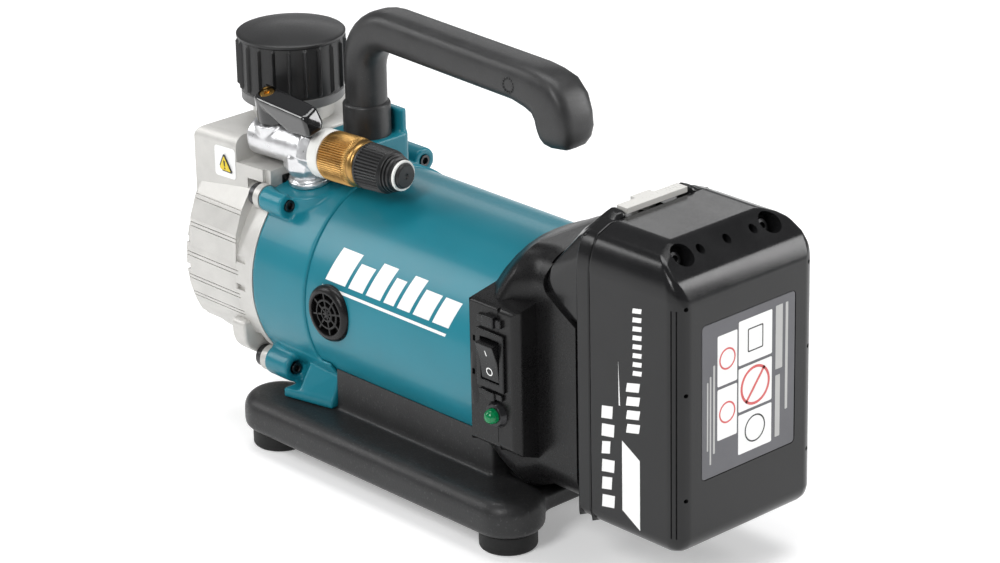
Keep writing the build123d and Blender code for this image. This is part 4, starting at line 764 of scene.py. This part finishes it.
def cap_ribs(angle, along, radius):
    """Thin upright ribs with rounded tops on the cap's skirt."""
    if not 139.6 < along < CAP_RIM - 1.5:
        return radius
    phase = (angle * RIBS / (2 * pi)) % 1.0 - 0.5
    rib = max(0.0, 1 - (phase / 0.085) ** 2) ** 0.5
    fade = min(1.0, (along - 139.6) / 0.8, (CAP_RIM - 1.5 - along) / 1.2)
    return radius + 1.2 * rib * max(0.0, fade)


CAP_X, CAP_RIM = -119.3, 162.0
cap_profile = [(152.0, 9.5), (128.0, 9.5), (128.0, 11.9), (129.2, 11.9), (129.9, 11.2), (130.8, 11.9),
               (131.5, 11.2), (132.4, 11.9), (133.1, 11.2), (134.0, 11.9), (138.6, 11.9), (138.6, 21.3),
               (139.2, 21.9), (139.8, 21.9), (140.6, 21.9), (150.0, 21.9), (CAP_RIM - 3, 21.9),
               (CAP_RIM - 2.2, 21.9), (CAP_RIM - 1.4, 21.9), (CAP_RIM - 0.7, 22.7), (CAP_RIM + 0.2, 22.75),
               (CAP_RIM + 0.7, 22.2), (CAP_RIM + 1.0, 20.9), (CAP_RIM + 2.1, 17.0), (CAP_RIM + 3.2, 12.0),
               (CAP_RIM + 4.0, 6.0), (CAP_RIM + 4.2, 0.6)]
cap = turned("oil_cap_look", cap_profile, Matrix.Translation((CAP_X, 0, 0)), RIBS * 16, cap_ribs)
stand_in(cap, "oil_cap", angle=42)
seal = turned("oil_cap_seal_look", [(134.2, 12.1), (134.2, 21.0), (134.6, 21.5), (138.0, 21.5),
                                    (138.5, 21.0), (138.5, 12.1)], Matrix.Translation((CAP_X, 0, 0)), 96)
boolean(seal, rod("seal_bore", (CAP_X, 0, 130), (0, 0, 1), 12.1, 12, 64))
stand_in(seal, "oil_cap_seal", angle=42)

# ---- inlet valve

WASHER_U = 13.25     # station of the nylon washer's middle on the outlet axis
OUTLET = (centre_of("inlet_o_ring") - centre_of("nylon_washer")).normalized()
# place whose Z axis is the outlet axis and whose X axis is upright
VALVE_AT = frame_at(centre_of("nylon_washer") - OUTLET * WASHER_U, OUTLET, (0, 0, 1))


def along_valve(name, profile, segments=96, wobble=None, bore=None):
    """A lathe piece on the valve's outlet axis, with an optional (start, end, radius) bore."""
    piece = turned(name, profile, VALVE_AT, segments, wobble)
    if bore:
        start, end, radius = bore
        boolean(piece, turned("bore", [(start, radius), (end, radius)], VALVE_AT, 48))
    return piece


def knurl(teeth, depth, start, end):
    """Straight teeth between two stations."""
    def change(angle, along, radius):
        if not start < along < end:
            return radius
        return radius - depth * abs(((angle * teeth / (2 * pi)) % 1.0) * 2 - 1) ** 1.4
    return change


body = copy_node("valve_body", "valve_body_look")
neck_way = VALVE_AT.to_3x3() @ Vector((-1, 0, 0))
boolean(body, turned("valve_neck", [(1.0, 6.5), (2.5, 9.2), (8.2, 9.2), (11.2, 7.4)],
                     frame_at(VALVE_AT.translation, neck_way, (1, 0, 0)), 8), "UNION")
cast(body, 0.45, 6)
stand_in(body, "valve_body", angle=60, weighted=False)
washer = along_valve("nylon_washer_look", [(10.3, 9.0), (10.7, 9.8), (11.5, 10.2), (15.2, 10.2),
                                           (16.1, 9.6)], bore=(5, 20, 6.3))
stand_in(washer, "nylon_washer", angle=50)
nut = along_valve("swivel_nut_look", [(16.2, 9.3), (16.9, 10.1), (17.2, 10.3), (17.6, 10.3), (30.0, 10.3),
                                      (30.4, 10.3), (30.7, 10.1), (31.4, 9.4), (32.0, 8.9)], 62 * 6,
                  knurl(62, 0.55, 16.8, 30.8), bore=(10, 40, 6.3))
stand_in(nut, "swivel_nut", angle=28)
ring = along_valve("retaining_ring_look", [(32.0, 8.4), (32.2, 9.2), (32.9, 9.6), (34.0, 9.7), (35.1, 9.6),
                                           (35.8, 9.1), (36.0, 8.3)], bore=(20, 45, 6.3))
stand_in(ring, "retaining_ring", angle=50)
inlet_cap = along_valve("inlet_cap_look", [
    (36.0, 9.0), (36.4, 9.5), (37.2, 9.55), (37.5, 9.5), (38.2, 9.5), (48.4, 9.1), (49.2, 8.9), (49.5, 8.5),
    (49.9, 8.0), (50.6, 8.0), (50.8, 7.2), (51.2, 7.2), (51.4, 7.8), (52.1, 7.7), (52.3, 6.9), (52.7, 6.9),
    (52.9, 7.3), (53.6, 7.1), (53.9, 6.3), (54.9, 6.2), (54.9, 5.3), (56.3, 5.3), (56.4, 5.1), (57.3, 4.9),
    (57.7, 4.5), (57.7, 1.2), (57.2, 0.9), (57.1, 0.2),
], 40 * 8, knurl(40, 0.7, 37.4, 48.9), bore=(30, 50.5, 6.35))
stand_in(inlet_cap, "inlet_cap", angle=30)

LEVER_TOP = [(-104.3, -34.2, 145.4), (-106.8, -24.4, 148.9), (-72.4, -26.8, 147.7), (-70.6, -35.6, 144.6)]
lever = rounded_hull("valve_lever_look", LEVER_TOP + [
    (-68.2, -25.4, 138.9), (-69.2, -33.9, 135.7), (-84.5, -33.0, 134.8), (-85.0, -24.4, 137.6),
    (-104.0, -33.0, 142.2), (-106.4, -23.4, 145.6)], lambda a, b: 1.3, 4)
STEM_AXIS = (centre_of("lever_screw") - centre_of("valve_stem")).normalized()


def on_stem(z, back=0.0):
    """Place on the stem's axis at a height, moved back along the axis."""
    return frame_at(Vector((-101.0, -28.9, z)) - STEM_AXIS * back, STEM_AXIS, (1, 0, 0))


hub = turned("lever_hub", [(0.0, 5.2), (0.3, 6.6), (1.2, 7.3), (4.0, 7.2), (10.5, 6.1), (14.0, 5.6)],
             on_stem(146.3, 14.8), 64)
boolean(lever, hub, "UNION")
cast(lever, 0.4, 3)
boolean(lever, turned("screw_seat", [(-1.0, 3.7), (6.0, 3.9)], on_stem(147.3, 1.2), 48))
stand_in(lever, "valve_lever", angle=50, weighted=False)
screw = turned("lever_screw_look", [(-3.0, 2.0), (-1.6, 3.4), (-0.3, 3.4), (0.1, 3.0), (0.2, 0.3)],
               on_stem(146.6), 40)
boolean(screw, turned("cross_a", [(-0.6, 0.01), (-0.55, 1.6), (0.6, 1.6), (0.65, 0.01)],
                      on_stem(146.6), 4))
stand_in(screw, "lever_screw", material=GOLD, angle=40)

# ---- castings

BRACKET_R, FOOT_X1 = 48.0, -53.5
LUG_R, LUG_X0, LUG_X1 = 6.4, -93.4, -79.2
lug_low, lug_high = node_box("lug_screws")
LUG_Y, LUG_Z = lug_high.y - 2.8, lug_low.z + 2.8
FOOT_BLOCKS = (     # corners of the foot's plate, of its web and of the web behind the lug
    ((-78.2, 46.0, 23.4), (-78.2, 45.6, 27.4), (-77.6, 30.0, 28.0), (-78.2, 30.0, 23.4),
     (FOOT_X1, 40.8, 23.4), (FOOT_X1, 40.2, 27.4), (FOOT_X1, 30.0, 23.4), (FOOT_X1, 30.0, 28.0)),
    ((-71.5, 44.2, 26.0), (-70.5, 36.5, 39.6), (-70.5, 30.0, 39.6), (-71.5, 30.0, 26.0),
     (FOOT_X1, 40.3, 26.0), (FOOT_X1, 35.2, 37.6), (FOOT_X1, 30.0, 37.6), (FOOT_X1, 30.0, 26.0)),
    ((-82.0, 34.0, 25.4), (-82.0, 33.4, 38.5), (-82.0, 28.0, 38.5), (-82.0, 28.0, 25.4),
     (-69.5, 36.6, 25.4), (-69.5, 35.6, 38.9), (-69.5, 28.0, 38.9), (-69.5, 28.0, 25.4)),
)
bracket = copy_node("front_bracket", "front_bracket_look")
for side in (-1, 1):
    waste = block("waste", (-94.5, min(side * 30, side * 60), 23.2),
                  (FOOT_X1 + 0.1, max(side * 30, side * 60), 46))
    boolean(waste, rod("keep", (-100, 0, AXIS_Z), (1, 0, 0), BRACKET_R - 0.1, 60, 120))
    boolean(bracket, waste)
    boolean(bracket, rod("lug", (LUG_X0, side * LUG_Y, LUG_Z), (1, 0, 0), LUG_R, LUG_X1 - LUG_X0, 40),
            "UNION")
    for points in FOOT_BLOCKS:
        foot = rounded_hull("foot", [(x, side * y, z) for x, y, z in points], no_rounding, 1)
        boolean(bracket, foot, "UNION")
    boolean(bracket, rod("lug_seat", (-81.2, side * LUG_Y, LUG_Z), (1, 0, 0), 3.3, 6, 32))
boolean(bracket, rod("tube_room", (-60.5, 0, AXIS_Z), (1, 0, 0), 46.7, 12, 120))
cast(bracket, 0.7, 7)
stand_in(bracket, "front_bracket", angle=60, weighted=False)
skid = cast(copy_node("base", "base_look"), 0.9, 12)
stand_in(skid, "base", angle=60, weighted=False)

cover = copy_node("oil_cover", "oil_cover_look")
COVER_R, COVER_X0 = 47.4, -134.9     # radius of the drum, its front
# height and half width of the drum above its middle
SHOULDER = [(76.0, 47.2), (88.0, 46.4), (97.5, 43.0), (107.0, 37.0)]


def cover_half(z):
    """Half width of the cover's drum at a height."""
    for (z0, half0), (z1, half1) in zip(SHOULDER, SHOULDER[1:]):
        if z0 <= z <= z1:
            return half0 + (half1 - half0) * (z - z0) / (z1 - z0)
    return math.sqrt(COVER_R ** 2 - (z - AXIS_Z) ** 2)


def shoulder_radius(a, b):
    """Rounding of the shoulder's front edges and of its long upper edges."""
    if max(a.x, b.x) < COVER_X0 + 0.9:
        return 1.6
    return 2.0 if abs(a.x - b.x) > 1 and a.z > 90 else 0.01


drum = rod("drum", (COVER_X0, 0, AXIS_Z), (1, 0, 0), COVER_R, 31.0, 120)
boolean(drum, block("drum_band", (-140, -60, 42.5), (-90, 60, 96)), "INTERSECT")
soften(drum, 1.5, 4, 50)
boolean(cover, drum, "UNION")
bolt_front = node_box("cover_bolts")[0].x
sump = rounded_hull("cover_sump", both_sides([
    (x, y, z) for x in (bolt_front - 9.5, bolt_front - 0.6)
    for y, z in ((20.0, 52.0), (46.6, 50.0), (46.2, 42.0), (44.2, 37.5), (29.6, 27.4), (20.0, 26.4))]),
    lambda a, b: 1.6 if abs(a.x - b.x) < 1 else 2.5, 3)
boolean(cover, sump, "UNION")
for side in (-1, 1):
    shoulder_part = rounded_hull("cover_shoulder", [
        (x, side * y, z) for x in (COVER_X0, -104.0)
        for y, z in ((20, 80), (20, 106.0), (33.0, 108.4), (37.0, 106.8), (43.0, 97.5), (46.4, 88.0),
                     (47.2, 76.0), (40.0, 76.0))], shoulder_radius, 4)
    boolean(cover, shoulder_part, "UNION")
    for z in (52.2, 60.6, 71.0, 84.5, 96.0):
        for dz in (0.0, 1.7):
            half = cover_half(z + dz) - 0.55
            boolean(cover, block("line", (-138, min(side * half, side * 60), z + dz),
                                 (-102.5, max(side * half, side * 60), z + dz + 0.4)))
soften(cover, 0.7, 3, 30)
stand_in(cover, "oil_cover", angle=38)

# ---- vent grille on the near side

vent_middle = centre_of("vent_grille")
VENT_AT = frame_at((vent_middle.x, -44.2, vent_middle.z), (0, -1, 0), (1, 0, 0))
rim = turned("vent_grille_look", [(0.2, 11.8), (2.2, 11.95), (3.2, 11.6), (3.9, 11.0), (4.4, 10.2),
                                  (4.6, 9.4), (4.4, 8.9), (3.6, 8.7), (2.0, 8.6), (1.2, 8.5)], VENT_AT, 96)
boolean(rim, turned("bore", [(1.4, 8.6), (9, 8.75)], VENT_AT, 96))
for radius in (3.0, 6.0):
    hoop = turned("hoop", [(1.0, radius + 0.45), (3.9, radius + 0.4), (4.1, radius)], VENT_AT, 64)
    boolean(hoop, turned("inside", [(0.4, radius - 0.45), (6, radius - 0.45)], VENT_AT, 64))
    boolean(rim, hoop, "UNION")
boolean(rim, turned("middle", [(1.0, 1.3), (3.9, 1.2), (4.2, 0.8)], VENT_AT, 24), "UNION")
for k in range(8):
    a = pi * k / 4 + 0.2
    spoke = prism("spoke", [(0.6, -0.38), (9.0, -0.38), (9.0, 0.38), (0.6, 0.38)],
                  VENT_AT @ Matrix.Rotation(a, 4, "Z") @ Matrix.Translation((0, 0, 1.0)), 2.9)
    boolean(rim, spoke, "UNION")
stand_in(rim, "vent_grille", angle=40)

# ---- switch details

for name, x0, x1, front, z0, z1 in (
        ("clip_top", -6.6, 6.4, -50.0, 95.2, 98.4), ("clip_top_tab", -3.0, 3.2, -50.9, 94.6, 99.2),
        ("clip_low", -6.6, 6.4, -49.9, 65.0, 67.4), ("clip_low_tab", -2.6, 2.8, -50.6, 64.2, 67.6)):
    piece = block(name, (ROCKER_X + x0, front, z0), (ROCKER_X + x1, PANEL_Y + 0.6, z1))
    soften(piece, 0.45, 3)
    dress(piece, "switch_body")
ledge = block("led_line", (LED_X - 0.25, PANEL_Y - 0.12, 46.5), (LED_X + 0.25, PANEL_Y + 0.4, 52.6))
dress(ledge, "switch_body")

rocker = copy_node("switch_rocker", "switch_rocker_look")
soften(rocker, 0.5, 3)


def on_rocker(x, z):
    """Point and outward normal where a level line from the near side meets the rocker."""
    _, spot, normal, _ = rocker.ray_cast(Vector((x, -70, z)) * MM, Vector((0, 1, 0)))
    return spot / MM, normal


spot, normal = on_rocker(ROCKER_X, ROCKER_Z - 4.6)
zero = turned("rocker_zero", [(-0.1, 1.75), (0.06, 1.75)], frame_at(spot, normal, (1, 0, 0)), 40)
boolean(zero, turned("inside", [(-1, 1.3), (1, 1.3)], frame_at(spot, normal, (1, 0, 0)), 40))
dress(zero, "switch_rocker", material=DECAL, angle=40, weighted=False)
spot, normal = on_rocker(ROCKER_X, ROCKER_Z + 3.6)
one = prism("rocker_one", [(-0.25, -1.3), (0.25, -1.3), (0.25, 1.3), (-0.25, 1.3)],
            frame_at(spot, normal, (1, 0, 0)) @ Matrix.Translation((0, 0, -0.1)), 0.16)
dress(one, "switch_rocker", material=DECAL, angle=40, weighted=False)
stand_in(rocker, "switch_rocker")

# ---- marks without lettering

def mark(node, shape, material):
    """A thin printed patch."""
    return dress(shape, node, material=material, angle=40, weighted=False)


def face_mark(name, y0, y1, z0, z1, material, radius=0.6):
    outline = rounded_rect(y1 - y0, z1 - z0, min(radius, (y1 - y0) / 2.01, (z1 - z0) / 2.01), 4,
                           ((y0 + y1) / 2, (z0 + z1) / 2))
    return mark("battery_label", shape_yz(name, outline, LABEL_X - 0.05, LABEL_X + 0.04), material)


def ring_mark(name, y, z, outer, inner, material):
    ring = rod(name, (LABEL_X - 0.02, y, z), (1, 0, 0), outer, 0.1, 48)
    boolean(ring, rod("inside", (LABEL_X - 1, y, z), (1, 0, 0), inner, 3, 48))
    return mark("battery_label", ring, material)


for k, (z0, z1) in enumerate(((86.5, 107.0), (64.5, 85.3))):
    face_mark(f"tile_small_{k}", -17.0, -6.4, z0, z1, DECAL)
    ring_mark(f"tile_ring_{k}", -11.7, (z0 + z1) / 2, 4.4, 3.7, DECAL_RED)
for k, (z0, z1) in enumerate(((91.5, 109.5), (72.5, 90.3), (55.0, 71.3))):
    face_mark(f"tile_large_{k}", -5.6, 12.6, z0, z1, DECAL)
ring_mark("tile_ring_main", 3.5, 81.4, 8.0, 6.9, DECAL_RED)
ring_mark("tile_ring_low", 3.5, 63.6, 5.6, 5.0, INK)
bar = shape_yz("tile_slash", [(-2.0, 75.6), (-1.2, 74.8), (9.0, 87.2), (8.2, 88.0)], LABEL_X - 0.02,
               LABEL_X + 0.08)
mark("battery_label", bar, DECAL_RED)
box_sign = shape_yz("tile_box", rounded_rect(8.4, 9.6, 0.6, 3, (3.5, 100.5)), LABEL_X - 0.02, LABEL_X + 0.08)
boolean(box_sign, shape_yz("hole", rounded_rect(7.4, 8.6, 0.4, 3, (3.5, 100.5)), LABEL_X - 1, LABEL_X + 1))
mark("battery_label", box_sign, INK)
for k, (y0, y1, z0, z1) in enumerate(((14.6, 18.4, 84.0, 110.0), (14.6, 17.2, 56.0, 81.5),
                                      (20.0, 21.4, 66.0, 110.0), (-19.3, -18.3, 60.0, 96.0),
                                      (-21.1, -20.3, 56.0, 92.0), (-22.6, -21.9, 62.0, 90.0))):
    face_mark(f"label_bar_{k}", y0, y1, z0, z1, DECAL_GREY, 0.3)

SIDE_Y = -BATTERY_HALF


def side_mark(name, outline, material=DECAL):
    return mark("battery_case", shape_xz(name, outline, SIDE_Y - 0.05, SIDE_Y + 0.05), material)


side_mark("side_slash", [(112.2, 33.0), (121.6, 27.4), (121.6, 56.5), (112.2, 62.0)])
for k, wide in enumerate((6.6, 5.2, 6.6, 4.4, 6.6, 5.8)):
    z = 31.0 + 7.4 * k
    side_mark(f"side_block_{k}", [(101.2, z), (101.2 + wide, z + 1.2), (101.6 + wide, z + 6.4),
                                  (101.6, z + 5.2)])
for k in range(4):
    z = 66.0 + 5.6 * k
    side_mark(f"side_step_{k}", [(114.4, z), (121.2, z + 1.6), (121.9, z + 5.4), (115.1, z + 3.8)])
for k in range(8):
    z = 90.5 + 3.6 * k
    side_mark(f"side_tick_{k}", [(118.0, z), (122.6, z + 0.9), (122.9, z + 2.9), (118.3, z + 2.0)])
side_mark("side_line", [(110.6, 76.0), (111.3, 76.0), (110.4, 94.0)])


def tube_mark(name, x0, x1, z0, z1, slant, columns=24):
    """A white stripe lying on the motor tube's near side, leaning by slant per millimetre of height."""
    rings = []
    for k in range(9):
        z = z0 + (z1 - z0) * k / 8
        lean = (z - z0) * slant
        across = math.asin((z - AXIS_Z) / TUBE_R)
        rings.append([(x0 + lean + (x1 - x0) * c / columns, across) for c in range(columns + 1)])
    verts, faces = [], []
    for lift in (-0.1, 0.07):
        radius = TUBE_R + lift
        for ring in rings:
            verts += [(x, -radius * cos(a), AXIS_Z + radius * sin(a)) for x, a in ring]
    row, layer = columns + 1, 9 * (columns + 1)
    for k in range(8):
        for c in range(columns):
            i = k * row + c
            faces.append((i, i + row, i + row + 1, i + 1))
            faces.append((layer + i, layer + i + 1, layer + i + row + 1, layer + i + row))
    edge = list(range(row)) + [k * row + columns for k in range(1, 9)]
    edge += [8 * row + c for c in range(columns - 1, -1, -1)] + [k * row for k in range(7, 0, -1)]
    for i, j in zip(edge, edge[1:] + edge[:1]):
        faces.append((i, j, layer + j, layer + i))
    patch = mesh_object(name, verts, faces)
    edit(patch, lambda bm: None)
    return dress(patch, "motor_tube", material=DECAL, angle=60, weighted=False)


for k, (start, wide, top) in enumerate(((-50.0, 12.0, 96.5), (-36.0, 8.6, 93.6), (-25.4, 8.6, 96.5),
                                        (-14.8, 6.0, 93.6), (-6.8, 7.4, 96.5), (2.6, 9.4, 93.6),
                                        (14.0, 9.4, 93.6))):
    tube_mark(f"tube_block_{k}", start, start + wide, 83.5, top, 0.35, 8)
tube_mark("tube_line", -51.6, 22.4, 80.0, 81.2, 0.35)

sign_low, sign_high = node_box("hazard_label")
lean = math.atan2(sign_high.y - sign_low.y - 0.3, sign_high.z - sign_low.z)
SIGN_AT = frame_at(centre_of("hazard_label") - Vector((0, 0.2, 0.5)), (0, -cos(lean), -sin(lean)), (1, 0, 0))


def sign_mark(name, outline, lift, material):
    return mark("hazard_label", prism(name, outline, SIGN_AT @ Matrix.Translation((0, 0, lift)), 0.3),
                material)


sign_mark("sign_edge", rounded_polygon([(-4.6, -3.6, 0.5), (4.6, -3.6, 0.5), (0, 4.5, 0.5)]), 0.0, INK)
sign_mark("sign_fill", rounded_polygon([(-3.7, -3.1, 0.3), (3.7, -3.1, 0.3), (0, 3.4, 0.3)]), 0.05,
          DECAL_YELLOW)
sign_mark("sign_dot", [(0.45 * cos(pi * k / 6), 0.45 * sin(pi * k / 6) - 2.2) for k in range(12)], 0.1, INK)
sign_mark("sign_bar", [(-0.35, -1.3), (0.35, -1.3), (0.5, 1.3), (-0.5, 1.3)], 0.1, INK)

# ---- pieces that keep their CAD shape

PLAIN_COPIES = {     # node and width of its bevel
    "rubber_feet": 0.5, "motor_tube": 0.3, "switch_body": 0.4, "led_bezel": 0.2, "led_lens": 0.1,
    "battery_label": 0.05, "hazard_label": 0.05, "cover_bolts": 0.3, "lug_screws": 0.2, "drain_plug": 0.4,
    "sight_glass_ring": 0.2, "sight_glass": 0.1, "inlet_o_ring": 0.3,
}
for node, width in PLAIN_COPIES.items():
    piece = copy_node(node, f"{node}_look")
    soften(piece, width)
    stand_in(piece, node)

for node, obj in frame["nodes"].items():
    if obj.hide_render:
        continue
    obj.data.materials.clear()
    obj.data.materials.append(FINISH[NODE_SLOT[node]])
